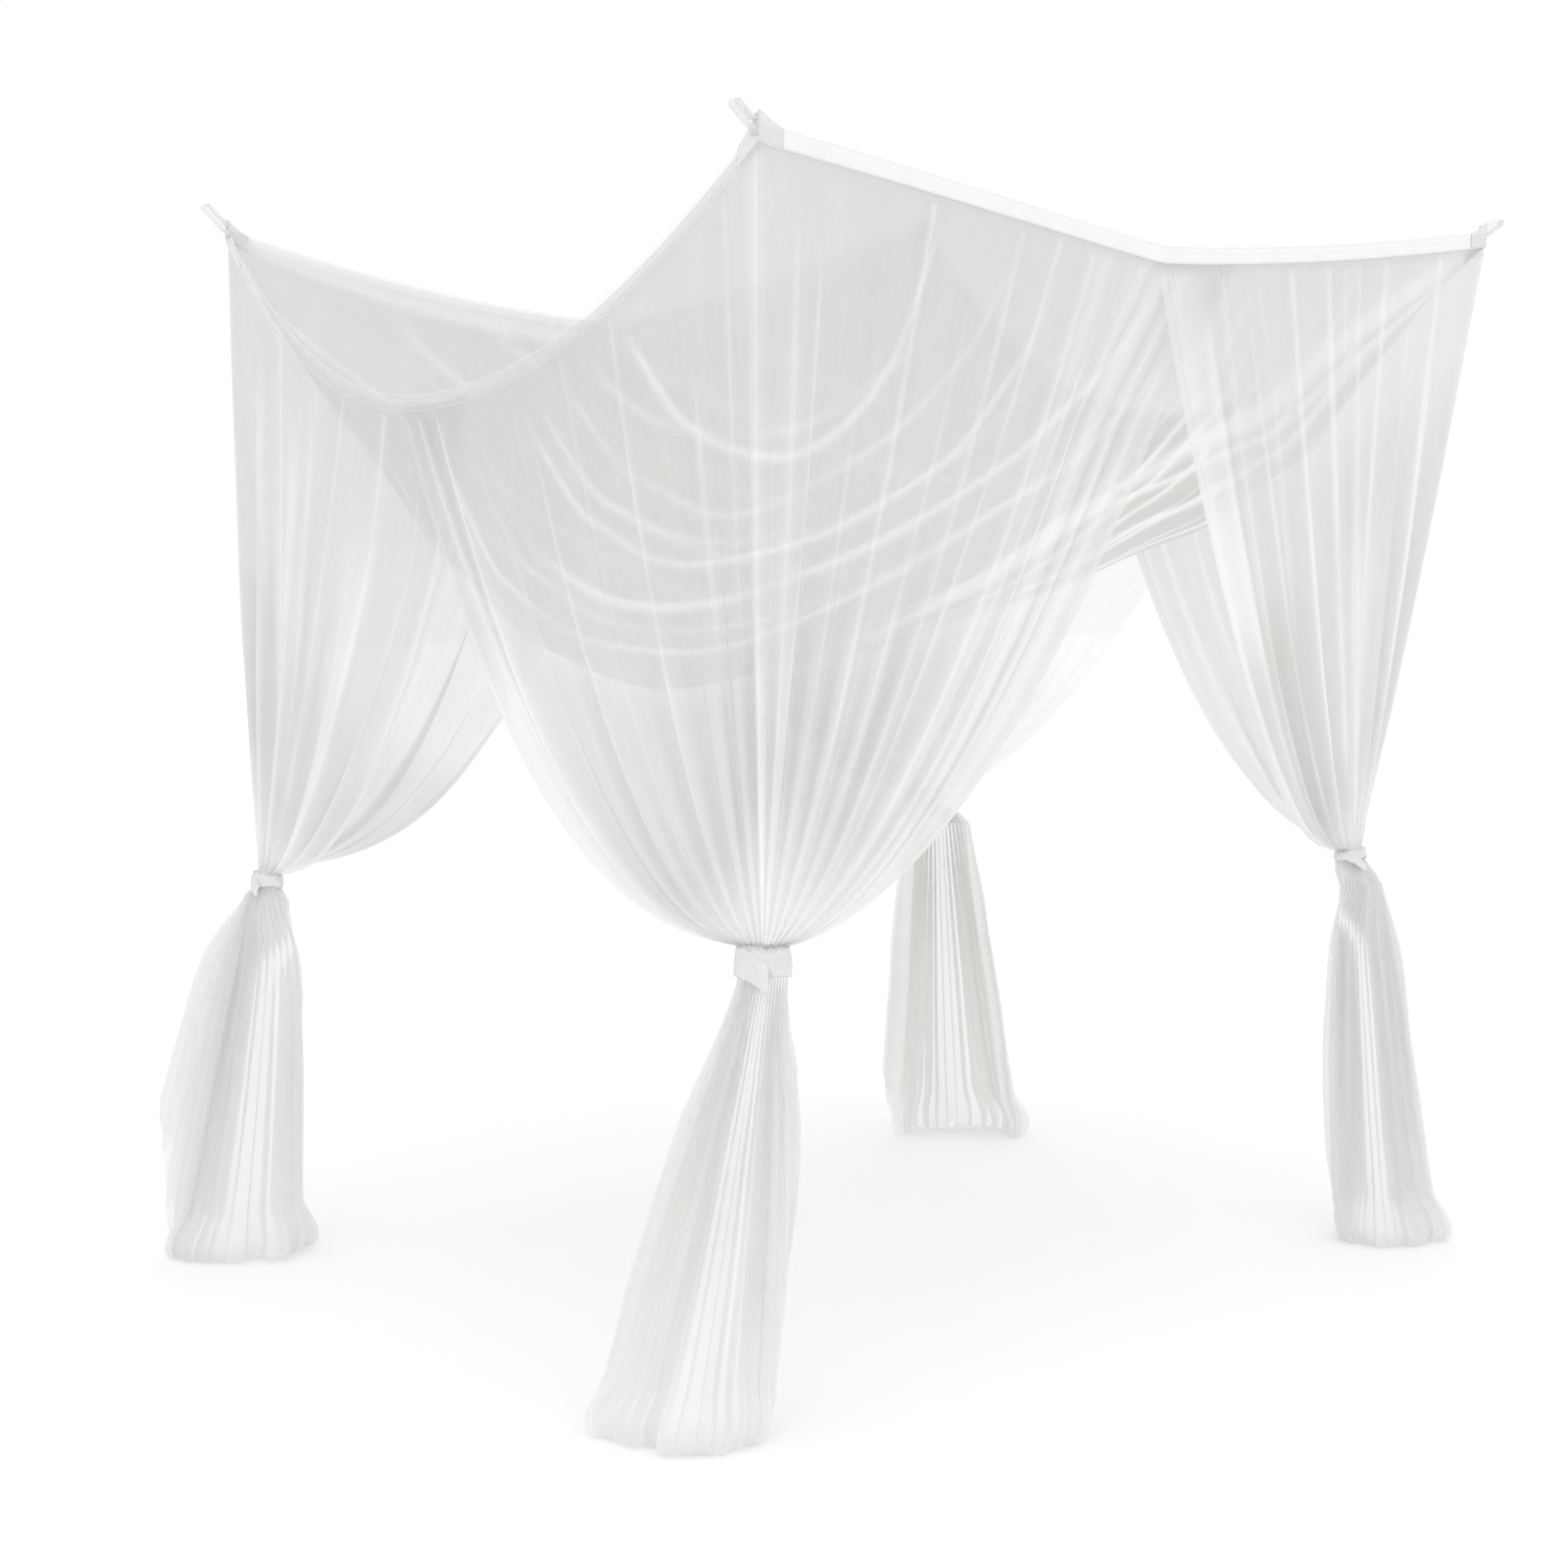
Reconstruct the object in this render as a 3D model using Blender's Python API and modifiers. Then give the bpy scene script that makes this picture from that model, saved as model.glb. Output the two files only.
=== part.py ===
# Mosquito net canopy for a bed: a rectangle of fine mesh that hangs from four corner loops,
# with a sagging roof and four corner curtains, each tied in under its corner.
# Metres, +Z up. The shapes are worked out over a floor at z = 0 with the near corner over
# (0, 0), and one empty then moves them so that the eye of the near loop is the origin.

import bpy
from collections import namedtuple
from math import ceil, cos, exp, pi, radians, sin, sqrt

from mathutils import Matrix, Vector

# Size of the hung net
LONG_SIDE = 2.084
SHORT_SIDE = 1.702
HANG_HEIGHT = 2.236
DROP = 2.38
FLOOR_GAP = 0.003

# Cloth
NET_THICKNESS = 0.001
TAPE_HEIGHT = 0.032
TAPE_THICKNESS = 0.002
TAPE_TRIM = 0.0015
SEWN_GAP = 0.0004
HEAD_BEHIND_TAPE = 0.012
HEAD_SHOWN = 0.004

# Where two curtains lap, the inner one eases in over the lead and leans away below
LAP_LEAD = 0.12
LAP_LEAN = 0.20
LAP_MOST = 0.060

# Gathers: folds on a half side of one metre, and the gathered bundle where it is tied
FOLDS_PER_METRE = 7.0
TIED_WIDTH = 0.086
TIED_DEPTH = 0.040
TIED_TURN = 8
TIED_OVAL = 0.35
FACING_AT_KNOT = 0.5

# Tie bands, corner patches and hanging loops
TIE_MARGIN = 0.012
TIE_THICKNESS = 0.0015
TIE_CLEAR_WIDE = 0.0076
TIE_CLEAR_DEEP = 0.0036
TIE_SET_BACK = 0.0015
TIE_LAP_GAP = 0.0010
TIE_START = radians(-50)
TIE_END = radians(62)
TIE_LAP_START = radians(22)
TIE_LAP_RISE = radians(20)
TIE_END_OUT = 0.016
TIE_END_DROP = 0.024
PATCH_ARM = 0.052
PATCH_RISE = 0.020
PATCH_TURNED_UNDER = 0.001
PATCH_SHORT_BY = 0.002
STRAP_WIDTH = 0.018
STRAP_THICKNESS = 0.0016
STRAP_FOOT = 0.011
STRAP_ROOT_OUT = 0.003
STRAP_FOOT_SPREAD = 0.002
STRAP_BELOW_TOP = 0.002
STRAP_PAST_CORNER = 0.001
EYE_GAP = 0.012

# Roof: an even belly with two lower hollows, given as shares along and across the bed
ROOF_BELLY = 0.348
ROOF_EDGE_BELOW = 0.005
ROOF_CREASE = 0.010
ROOF_CREASES = 9.0
HOLLOW_REACH = 0.16
Hollow = namedtuple("Hollow", "along across depth")
HOLLOWS = (
    Hollow(0.19, 0.57, 0.195),
    Hollow(0.87, 0.10, 0.126),
)

# Corners run round the bed. Lift is above the hanging height; inset and knot place the tie in
# from the corner and over the floor; turn is how far the tail faces round from the corner;
# jut and lean move the tail sideways under the tie and at the floor; shoulder and foot are its
# widths there; band is the height of the tie; strap and tilt are the loop's length and slope.
Corner = namedtuple("Corner",
                    "name x y lift inset knot turn jut lean shoulder foot band strap tilt")
CORNERS = (
    Corner("near", 0.0, 0.0,
           0.000, 0.07, 0.875, 0, 0.0, -0.130, 0.085, 0.270, 0.046, 0.056, 38),
    Corner("right", LONG_SIDE, 0.0,
           -0.012, 0.26, 0.885, -90, 0.020, 0.080, 0.105, 0.170, 0.016, 0.070, 26),
    Corner("far", LONG_SIDE, SHORT_SIDE,
           0.160, 0.14, 0.910, 0, -0.040, -0.040, 0.140, 0.290, 0.022, 0.066, 34),
    Corner("left", 0.0, SHORT_SIDE,
           -0.020, 0.06, 0.850, 90, 0.0, -0.115, 0.130, 0.250, 0.022, 0.070, 42),
)

# How far each curtain reaches past the middle of the side before and after its corner, and how
# slackly its free edges hang
Reach = namedtuple("Reach", "before after slack_before slack_after")
REACHES = (
    Reach(0.21, 0.22, 1.30, 0.75),
    Reach(0.02, 0.19, 1.00, 1.35),
    Reach(0.22, 0.08, 0.60, 1.00),
    Reach(0.11, 0.00, 1.80, 1.00),
)

# The sides run round from corner to corner. Sag is how far the heading drops at its middle,
# skew moves the lowest place towards the far end of the side, bow draws it in, and round is 1
# for two straight halves and 2 for an even curve.
Side = namedtuple("Side", "name sag skew bow round")
SIDES = (
    Side("near_right", 0.112, 0.22, 0.020, 1.15),
    Side("far_right", 0.440, 0.17, 0.010, 1.90),
    Side("far_left", 0.222, 0.15, 0.010, 1.30),
    Side("near_left", 0.373, -0.28, 0.005, 2.20),
)

# Unevenness of the gathers: each fold's share of the width, and of the depth
Fold = namedtuple("Fold", "width depth")
FOLDS = (
    Fold(1.00, 1.10),
    Fold(0.80, 0.70),
    Fold(1.25, 1.25),
    Fold(0.90, 0.85),
    Fold(1.10, 0.60),
    Fold(0.75, 1.15),
    Fold(1.30, 0.95),
)
FAN_ROWS = (0.05, 0.12, 0.22, 0.35, 0.50, 0.65, 0.80, 0.92, 1.0)

# The tail below the tie: how far down, how far it has widened from shoulder to foot, how far
# its front line bends round, the depth of its folds, and how far it slumps out at the floor
Tail = namedtuple("Tail", "down widen bend depth slump")
TAIL = (
    Tail(0.030, 0.03, 12, 0.053, 0.0),
    Tail(0.065, 0.07, 17, 0.054, 0.0),
    Tail(0.105, 0.12, 24, 0.055, 0.0),
    Tail(0.155, 0.18, 30, 0.056, 0.0),
    Tail(0.220, 0.27, 40, 0.057, 0.0),
    Tail(0.300, 0.38, 50, 0.058, 0.0),
    Tail(0.500, 0.62, 64, 0.060, 0.0),
    Tail(0.700, 0.84, 72, 0.060, 0.0),
    Tail(0.880, 0.96, 76, 0.058, 0.2),
    Tail(0.940, 1.00, 78, 0.052, 0.8),
    Tail(0.980, 1.00, 78, 0.046, 1.0),
    Tail(1.000, 1.00, 78, 0.042, 0.8),
)
TAIL_FACES_BY = 0.24
TAIL_JUTS_BY = 0.065
TAIL_ROUND_BY = 0.30
TAIL_UNEVEN_BY = 0.50
TAIL_FULL_FOOT = 0.25
SLUMP_SHARE = 0.26
SLUMP_MOST = 0.045

MATERIALS = {
    "white_mesh": ((0.86, 0.87, 0.86, 1.0), 0.9),
    "white_tape": ((0.92, 0.92, 0.90, 1.0), 0.8),
}


def blend(start, end, share):
    return start + (end - start) * share


def smooth(share):
    share = min(1.0, max(0.0, share))
    return share * share * (3.0 - 2.0 * share)


def material(name):
    found = bpy.data.materials.get(name)
    if found:
        return found
    colour, roughness = MATERIALS[name]
    made = bpy.data.materials.new(name)
    made.use_nodes = True
    shader = made.node_tree.nodes["Principled BSDF"]
    shader.inputs["Base Color"].default_value = colour
    shader.inputs["Roughness"].default_value = roughness
    shader.inputs["Metallic"].default_value = 0.0
    made.diffuse_color = colour
    return made


def sheet(name, rows, thickness, finish):
    """A cloth sheet from rows of points, thickened evenly to both sides.

    Faces turn round by one corner in every second row, so that they split from a ridge's upper
    end to a valley's lower end on both sides of a fold, and packed folds stay clear.
    """
    wide = len(rows[0])
    points = [point for row in rows for point in row]
    faces = []
    for i in range(len(rows) - 1):
        for j in range(wide - 1):
            start = i * wide + j
            face = (start, start + 1, start + wide + 1, start + wide)
            faces.append(face if i % 2 == 0 else face[1:] + face[:1])
    mesh = bpy.data.meshes.new(name)
    mesh.from_pydata(points, [], faces)
    mesh.shade_smooth()
    mesh.materials.append(material(finish))
    made = bpy.data.objects.new(name, mesh)
    parts.objects.link(made)
    made.parent = hanging_point
    split = made.modifiers.new("split", "TRIANGULATE")
    split.quad_method = "FIXED"
    thick = made.modifiers.new("thickness", "SOLIDIFY")
    thick.thickness = thickness
    thick.offset = 0.0
    return made


# Headings

def side_length(side):
    return LONG_SIDE if side % 2 == 0 else SHORT_SIDE


def corner_top(corner):
    return Vector((corner.x, corner.y, HANG_HEIGHT + corner.lift))


def side_inward(side):
    start = CORNERS[side]
    end = CORNERS[(side + 1) % 4]
    return Vector((start.y - end.y, end.x - start.x, 0.0)).normalized()


def heading(side, share, inward=0.0, below=0.0):
    """A point on a side's heading, share of the way along it."""
    start = corner_top(CORNERS[side])
    end = corner_top(CORNERS[(side + 1) % 4])
    shape = SIDES[side]
    hang = 1.0 - abs(2.0 * share - 1.0) ** shape.round
    hang *= 1.0 + shape.skew * (2.0 * share - 1.0)
    point = start.lerp(end, share)
    point += side_inward(side) * (shape.bow * hang + inward)
    point.z -= shape.sag * hang + below
    return point


def make_heading_tape(side):
    """One side's length of tape, standing on edge along the heading."""
    steps = 20
    trim = TAPE_TRIM / side_length(side)
    rows = []
    for below in (0.0, TAPE_HEIGHT):
        row = []
        for i in range(steps + 1):
            share = blend(trim, 1.0 - trim, i / steps)
            row.append(heading(side, share, below=below))
        rows.append(row)
    sheet("heading_tape_" + SIDES[side].name, rows, TAPE_THICKNESS, "white_tape")


# Roof

def roof_point(along, across):
    """A point of the roof: the four headings joined smoothly, sagging to a belly."""
    inset = TAPE_THICKNESS / 2 + SEWN_GAP + NET_THICKNESS / 2
    near = heading(0, along, inset)
    right = heading(1, across, inset)
    far = heading(2, 1.0 - along, inset)
    left = heading(3, 1.0 - across, inset)
    flat = Vector((0.0, 0.0, 0.0))
    for index, (u, v) in enumerate(((0, 0), (1, 0), (1, 1), (0, 1))):
        share = (along if u else 1.0 - along) * (across if v else 1.0 - across)
        flat += corner_top(CORNERS[index]) * share
    joined = near * (1.0 - across) + far * across + left * (1.0 - along) + right * along - flat
    hang = (4.0 * along * (1.0 - along)) * (4.0 * across * (1.0 - across))
    drop = ROOF_BELLY * sqrt(hang) + ROOF_EDGE_BELOW
    drop += ROOF_CREASE * sqrt(hang) * cos(ROOF_CREASES * pi * sqrt(hang))
    for hollow in HOLLOWS:
        apart = (along - hollow.along) ** 2 + (across - hollow.across) ** 2
        near_it = exp(-apart / (2.0 * HOLLOW_REACH ** 2))
        drop += hollow.depth * near_it * min(1.0, 4.0 * hang)
    joined.z -= drop
    return joined


def crowded(share):
    """The same share moved partly towards the nearer end, for closer rows by the edges."""
    return blend(share, 0.5 - 0.5 * cos(pi * share), 0.5)


def make_roof():
    steps_along = 20
    steps_across = 16
    rows = []
    for j in range(steps_across + 1):
        across = crowded(j / steps_across)
        rows.append([roof_point(crowded(i / steps_along), across)
                     for i in range(steps_along + 1)])
    sheet("roof_net", rows, NET_THICKNESS, "white_mesh")


# Curtains

def outward(corner):
    """The level direction that points from the middle of the bed out past a corner."""
    middle = Vector((LONG_SIDE / 2, SHORT_SIDE / 2, 0.0))
    away = Vector((corner.x, corner.y, 0.0)) - middle
    return Vector((1.0 if away.x > 0 else -1.0, 1.0 if away.y > 0 else -1.0, 0.0)).normalized()


def knot_centre(corner):
    return Vector((corner.x, corner.y, corner.knot)) - outward(corner) * corner.inset


def turned(direction, angle):
    return Matrix.Rotation(angle, 3, "Z") @ direction


def facing(corner, amount):
    """The way the gathered cloth faces, from the corner's own way to the tail's."""
    return turned(outward(corner), radians(corner.turn) * amount)


Column = namedtuple("Column", "place share ridge depth")


def half_width(index, after):
    """From a corner to the free edge of its curtain along one side."""
    reach = REACHES[index].after if after else REACHES[index].before
    return side_length(index if after else index - 1) / 2 + reach


def gathers(index):
    """The curtain's fold lines: each ridge and valley from one free edge to the other."""
    halves = []
    for after in (False, True):
        half = half_width(index, after)
        count = ceil(half * FOLDS_PER_METRE)
        first = index * 3 + 1 if after else index * 2
        chosen = [FOLDS[(first + i) % len(FOLDS)] for i in range(count)]
        total = sum(fold.width for fold in chosen)
        sign = 1 if after else -1
        made = []
        place = 0.0
        for i, fold in enumerate(chosen):
            width = half * fold.width / total
            made.append(Column(sign * (place + 0.5 * width), sign * (2 * i + 1) / (2 * count),
                               False, fold.depth))
            place += width
            made.append(Column(sign * place, sign * (2 * i + 2) / (2 * count),
                               True, fold.depth))
        halves.append(made)
    return list(reversed(halves[0])) + [Column(0.0, 0.0, True, 1.0)] + halves[1]


def gathered_point(way, column, width, bend, centre):
    """Where a fold line crosses the gathered cloth, and the way its folds stand there."""
    radius = width / (2.0 * sin(radians(bend)))
    direction = turned(way, radians(bend) * column.share)
    return centre + (direction - way) * radius, direction


def oval(column):
    """The ends of a tied bundle are thinner than its middle."""
    return TIED_OVAL + (1.0 - TIED_OVAL) * sqrt(max(0.0, 1.0 - column.share ** 2))


def lapped_in(index, column, below):
    """How far in a fold line hangs where its curtain passes behind the next one."""
    if column.place <= 0:
        return 0.0
    lap = REACHES[index].after + REACHES[(index + 1) % 4].before
    start = half_width(index, True) - lap - LAP_LEAD
    behind = smooth((column.place - start) / LAP_LEAD)
    return behind * min(LAP_MOST, NET_THICKNESS + SEWN_GAP + LAP_LEAN * below)


def curtain_top(index, column, below):
    """A point at the curtain's head, behind the tape."""
    inset = TAPE_THICKNESS / 2 + SEWN_GAP + NET_THICKNESS / 2 + lapped_in(index, column, 0.0)
    if column.place < 0:
        side = (index - 1) % 4
        return heading(side, 1.0 + column.place / side_length(side), inset, below)
    if column.place > 0:
        return heading(index, column.place / side_length(index), inset, below)
    corner = corner_top(CORNERS[index])
    corner.z -= below
    return corner - outward(CORNERS[index]) * inset * sqrt(2)


def fold_depth(column, share):
    """Depth of a fold part of the way from the heading to the tie."""
    uneven = blend(column.depth, 1.0, share ** 3)
    return TIED_DEPTH * uneven * blend(1.0, oval(column), share ** 3) * share ** 0.8


def fan_points(index, column, top, tied):
    """The fold line from the heading to the tie."""
    corner = CORNERS[index]
    reach = REACHES[index]
    side_turn = radians(45) * max(-1.0, min(1.0, column.place / PATCH_ARM))
    tied_turn = radians(corner.turn * FACING_AT_KNOT + TIED_TURN * column.share)
    step = 0.5 if column.ridge else -0.5
    slack = reach.slack_after if column.place > 0 else reach.slack_before
    power = 1.0 + slack * abs(column.share)
    points = []
    for share in FAN_ROWS:
        fall = (top.z - tied.z) * (1.0 - (1.0 - share) ** power)
        point = top.lerp(tied, share)
        point.z = top.z - fall
        inner = lapped_in(index, column, fall) - lapped_in(index, column, 0.0)
        point += side_inward(index) * inner * (1.0 - share)
        way = turned(outward(corner), blend(side_turn, tied_turn, smooth(share)))
        points.append(point + way * step * fold_depth(column, share))
    return points


def tail_points(index, column, start, left):
    """The fold line from under the tie to its hem, with what is left of the drop."""
    corner = CORNERS[index]
    step = 0.5 if column.ridge else -0.5
    foot = max(FLOOR_GAP, start - left)
    excess = max(0.0, left - start)
    full = min(1.0, corner.foot / TAIL_FULL_FOOT)
    sideways = turned(facing(corner, 1.0), pi / 2)
    points = []
    for row in TAIL:
        way = facing(corner, blend(FACING_AT_KNOT, 1.0, smooth(row.down / TAIL_FACES_BY)))
        centre = knot_centre(corner) + sideways * corner.lean * row.down
        centre += sideways * corner.jut * smooth(row.down / TAIL_JUTS_BY)
        centre.z = blend(start, foot, row.down)
        width = blend(corner.shoulder, corner.foot, row.widen)
        point, way = gathered_point(way, column, width, row.bend, centre)
        thin = blend(oval(column), 1.0, smooth(row.down / TAIL_ROUND_BY))
        uneven = blend(1.0, column.depth, smooth(row.down / TAIL_UNEVEN_BY))
        slump = row.slump * min(SLUMP_MOST, SLUMP_SHARE * excess)
        points.append(point + way * (step * row.depth * full * uneven * thin + slump))
    return points


def curtain_line(index, column):
    """One fold line of a curtain, from its head down to its hem."""
    corner = CORNERS[index]
    way = facing(corner, FACING_AT_KNOT)
    tied = gathered_point(way, column, TIED_WIDTH, TIED_TURN, knot_centre(corner))[0]
    line = [curtain_top(index, column, TAPE_HEIGHT - HEAD_BEHIND_TAPE),
            curtain_top(index, column, TAPE_HEIGHT + HEAD_SHOWN)]
    fan = fan_points(index, column, line[-1], tied)
    used = TAPE_HEIGHT
    for upper, lower in zip([line[-1]] + fan, fan):
        used += (lower - upper).length
    line += fan
    neck = corner.band + TIE_MARGIN
    line.append(line[-1] - Vector((0.0, 0.0, neck)))
    return line + tail_points(index, column, tied.z - neck, DROP - used - neck)


def make_curtain(index):
    lines = [curtain_line(index, column) for column in gathers(index)]
    sheet("curtain_" + CORNERS[index].name, lines, NET_THICKNESS, "white_mesh")


# Ties, patches and loops

def make_tie(corner):
    """A band round the gathered neck, its outer end lapped over and hanging free."""
    ahead = facing(corner, FACING_AT_KNOT)
    across = turned(ahead, pi / 2)
    middle = knot_centre(corner) - ahead * TIE_SET_BACK
    wide = TIED_WIDTH / 2 + TIE_CLEAR_WIDE
    deep = TIED_DEPTH / 2 + TIE_CLEAR_DEEP
    steps = 34
    top = -TIE_MARGIN / 2
    rows = []
    for edge in (top, top - corner.band):
        row = []
        for i in range(steps + 1):
            turn = (2.0 * pi + TIE_END) * i / steps
            past = turn - 2.0 * pi
            over = smooth((past + TIE_LAP_START) / TIE_LAP_RISE)
            free = max(0.0, past / TIE_END)
            out = over * (TIE_THICKNESS + TIE_LAP_GAP) + TIE_END_OUT * free
            angle = TIE_START + turn
            point = middle + across * sin(angle) * (wide + out) + ahead * cos(angle) * (deep + out)
            point.z += edge - TIE_END_DROP * free ** 1.3
            row.append(point)
        rows.append(row)
    sheet("tie_" + corner.name, rows, TIE_THICKNESS, "white_tape")


def make_corner_patch(index):
    """A doubled piece of mesh folded round the corner over the ends of both tapes."""
    offset = -(TAPE_THICKNESS / 2 + SEWN_GAP + NET_THICKNESS / 2)
    steps = 3
    rows = []
    for top in (True, False):
        row = []
        for i in range(-steps, steps + 1):
            away = abs(i) / steps
            place = PATCH_ARM * i / steps
            below = TAPE_HEIGHT - PATCH_SHORT_BY
            if top:
                below = -PATCH_TURNED_UNDER - PATCH_RISE * (1.0 - away) ** 1.5
            if i < 0:
                side = (index - 1) % 4
                row.append(heading(side, 1.0 + place / side_length(side), offset, below))
            elif i > 0:
                row.append(heading(index, place / side_length(index), offset, below))
            else:
                point = corner_top(CORNERS[index]) - outward(CORNERS[index]) * offset * sqrt(2)
                point.z -= below
                row.append(point)
        rows.append(row)
    sheet("corner_patch_" + CORNERS[index].name, rows, NET_THICKNESS, "white_mesh")


def strap_profile(corner):
    """The strap's line in its upright plane, as distance out from the patch and height."""
    tilt = radians(corner.tilt)
    along = Vector((cos(tilt), sin(tilt)))
    up = Vector((-sin(tilt), cos(tilt)))
    bend = EYE_GAP / 2 + STRAP_THICKNESS / 2
    out = SEWN_GAP + STRAP_THICKNESS / 2
    root = Vector((out + STRAP_ROOT_OUT, 0.0))
    tip = root + along * (corner.strap - bend)
    points = [Vector((out, -bend - STRAP_FOOT)), Vector((out, -bend))]
    for share in (0.15, 0.5):
        points.append(root.lerp(tip, share) - up * bend)
    for i in range(9):
        angle = -pi / 2 + pi * i / 8
        points.append(tip + along * cos(angle) * bend + up * sin(angle) * bend)
    for share in (0.5, 0.15):
        points.append(root.lerp(tip, share) + up * bend)
    points += [Vector((out, bend + STRAP_FOOT_SPREAD)), Vector((out, bend + STRAP_FOOT))]
    return points, tip + along * (bend - STRAP_THICKNESS / 2)


def strap_place(corner, profile_point, across):
    """A strap point over the floor: the straps reach out along the bed's long way."""
    out_way = 1.0 if corner.x > LONG_SIDE / 2 else -1.0
    in_way = -1.0 if corner.y > SHORT_SIDE / 2 else 1.0
    face = TAPE_THICKNESS / 2 + SEWN_GAP + NET_THICKNESS
    return Vector((corner.x + out_way * (face + profile_point.x),
                   corner.y + in_way * (across - STRAP_PAST_CORNER),
                   HANG_HEIGHT + corner.lift + profile_point.y - STRAP_BELOW_TOP))


def eye_point(corner):
    """The inside of the loop's end, where a hook bears."""
    return strap_place(corner, strap_profile(corner)[1], STRAP_WIDTH / 2)


def make_loop(corner):
    profile = strap_profile(corner)[0]
    rows = []
    for across in (0.0, STRAP_WIDTH):
        rows.append([strap_place(corner, point, across) for point in profile])
    sheet("loop_" + corner.name, rows, STRAP_THICKNESS, "white_tape")


for old in list(bpy.data.objects):
    bpy.data.objects.remove(old, do_unlink=True)

parts = bpy.data.collections.new("mosquito_net_canopy")
bpy.context.scene.collection.children.link(parts)
hanging_point = bpy.data.objects.new("hanging_point", None)
hanging_point.location = -eye_point(CORNERS[0])
parts.objects.link(hanging_point)

make_roof()
for number, hung_corner in enumerate(CORNERS):
    make_heading_tape(number)
    make_curtain(number)
    make_corner_patch(number)
    make_loop(hung_corner)
    make_tie(hung_corner)
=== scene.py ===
from math import ceil, cos, exp, pi, radians, sin, sqrt, tanh

import bpy
from mathutils import Matrix, Vector, noise


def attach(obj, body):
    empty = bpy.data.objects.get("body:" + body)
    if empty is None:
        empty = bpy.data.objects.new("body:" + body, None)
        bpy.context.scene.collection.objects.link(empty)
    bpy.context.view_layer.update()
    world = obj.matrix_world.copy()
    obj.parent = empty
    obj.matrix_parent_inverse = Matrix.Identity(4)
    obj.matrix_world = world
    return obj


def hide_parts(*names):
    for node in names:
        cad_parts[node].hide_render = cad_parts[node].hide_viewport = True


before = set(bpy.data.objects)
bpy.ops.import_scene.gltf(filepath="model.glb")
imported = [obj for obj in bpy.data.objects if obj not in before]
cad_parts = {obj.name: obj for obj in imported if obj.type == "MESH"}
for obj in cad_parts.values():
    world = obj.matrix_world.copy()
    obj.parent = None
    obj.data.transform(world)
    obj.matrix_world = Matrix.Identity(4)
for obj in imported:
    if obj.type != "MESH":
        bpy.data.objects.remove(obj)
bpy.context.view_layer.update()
print("frame loaded")

# Shapes are worked out over a floor at z = 0 with the near corner over (0, 0),
# then moved so that the eye of the near loop is the origin.
net = {
    "longSide": 2.084,
    "shortSide": 1.702,
    "height": 2.236,
    "drop": 2.38,
    "floorGap": 0.004,
    "move": Vector((0.0501, -0.008, -2.268)),
}

# One value for each corner, in order round the bed.
cornerTable = {
    "name": ("near", "right", "far", "left"),
    "x": (0.0, net["longSide"], net["longSide"], 0.0),
    "y": (0.0, 0.0, net["shortSide"], net["shortSide"]),
    "lift": (0.0, -0.012, 0.16, -0.02),     # above the hanging height
    "inset": (0.07, 0.26, 0.14, 0.06),      # how far in and how high the tie is
    "knot": (0.875, 0.885, 0.91, 0.85),
    "turn": (0, -90, 0, 90),                # how far the tail faces round
    "jut": (0.0, 0.02, -0.04, 0.0),         # sideways shift under the tie and at the floor
    "lean": (-0.13, 0.08, -0.04, -0.115),
    "shoulder": (0.085, 0.105, 0.14, 0.13),     # width of the tail there
    "foot": (0.27, 0.17, 0.29, 0.25),
    "band": (0.046, 0.016, 0.022, 0.022),   # width of the tie
    "strap": (0.056, 0.07, 0.066, 0.07),    # reach and slope of the hanging loop
    "tilt": (38, 26, 34, 42),
    "before": (0.21, 0.02, 0.22, 0.11),     # reach past the middle of each side
    "after": (0.22, 0.19, 0.08, 0.0),
    "slackBefore": (1.3, 1.0, 0.6, 1.8),    # how freely each half falls before it is drawn in
    "slackAfter": (0.75, 1.35, 1.0, 1.0),
    # how gathered the net looks above thickFrom, which is a share of the way down to the tie
    # and what is added to it at each free edge
    "thinTop": (0.22, 0.28, 0.42, 0.42),
    "thickFrom": ((0.53, -0.42, -0.26), (0.15, 0, -0.22), (0.45, 0, 0), (0.45, 0, 0)),
    # painted light at the heading, over the tie and in the tail
    "paintedLightTop": (0.12, 0.3, 0.7, 0.08),
    "paintedLightLow": (0.02, 0.26, 0.8, 0.16),
    "tailPaintedLight": (0.9, 0.78, 0.84, 0.66),
    # bands of painted highlight, or painted shade lines where the strength is below zero: share
    # to the free edge, width, strength, start and end
    "bands": (
        [(-0.01, 0.025, 0.55, -0.2, 1.2), (0.09, 0.03, 0.25, 0.1, 1.2),
         (-0.965, 0.045, 0.55, 0.2, 1.1), (-0.88, 0.03, 0.3, 0, 1),
         (0.7, 0.022, 0.55, -0.2, 0.9), (0.79, 0.028, 0.65, -0.2, 0.9),
         (0.96, 0.07, 0.25, 0, 0.9), (0.86, 0.03, 0.6, -0.2, 1),
         (0.885, 0.007, -0.6, -0.2, 1.1), (0.935, 0.006, -0.6, 0, 1.1),
         (0.82, 0.007, -0.4, -0.1, 1), (-0.925, 0.006, -0.5, -0.2, 1.1)],
        [(-0.94, 0.05, 0.45, -0.2, 0.5), (-0.82, 0.16, -0.4, 0.3, 1.3),
         (-0.35, 0.1, 0.35, 0.3, 1.2), (-0.1, 0.05, 0.25, 0.1, 1.2),
         (-0.885, 0.007, -0.5, 0, 1.1)],
        [(-0.9, 0.3, 0.25, -0.2, 0.8)],
        [(-0.15, 0.05, 0.25, 0, 1), (-0.42, 0.05, 0.2, 0, 1),
         (0.16, 0.022, 0.5, 0.05, 1), (0.31, 0.03, 0.55, 0.05, 1),
         (0.62, 0.035, 0.4, 0.1, 1.1), (0.75, 0.2, 0.15, 0.1, 1.1)]),
}
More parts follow.
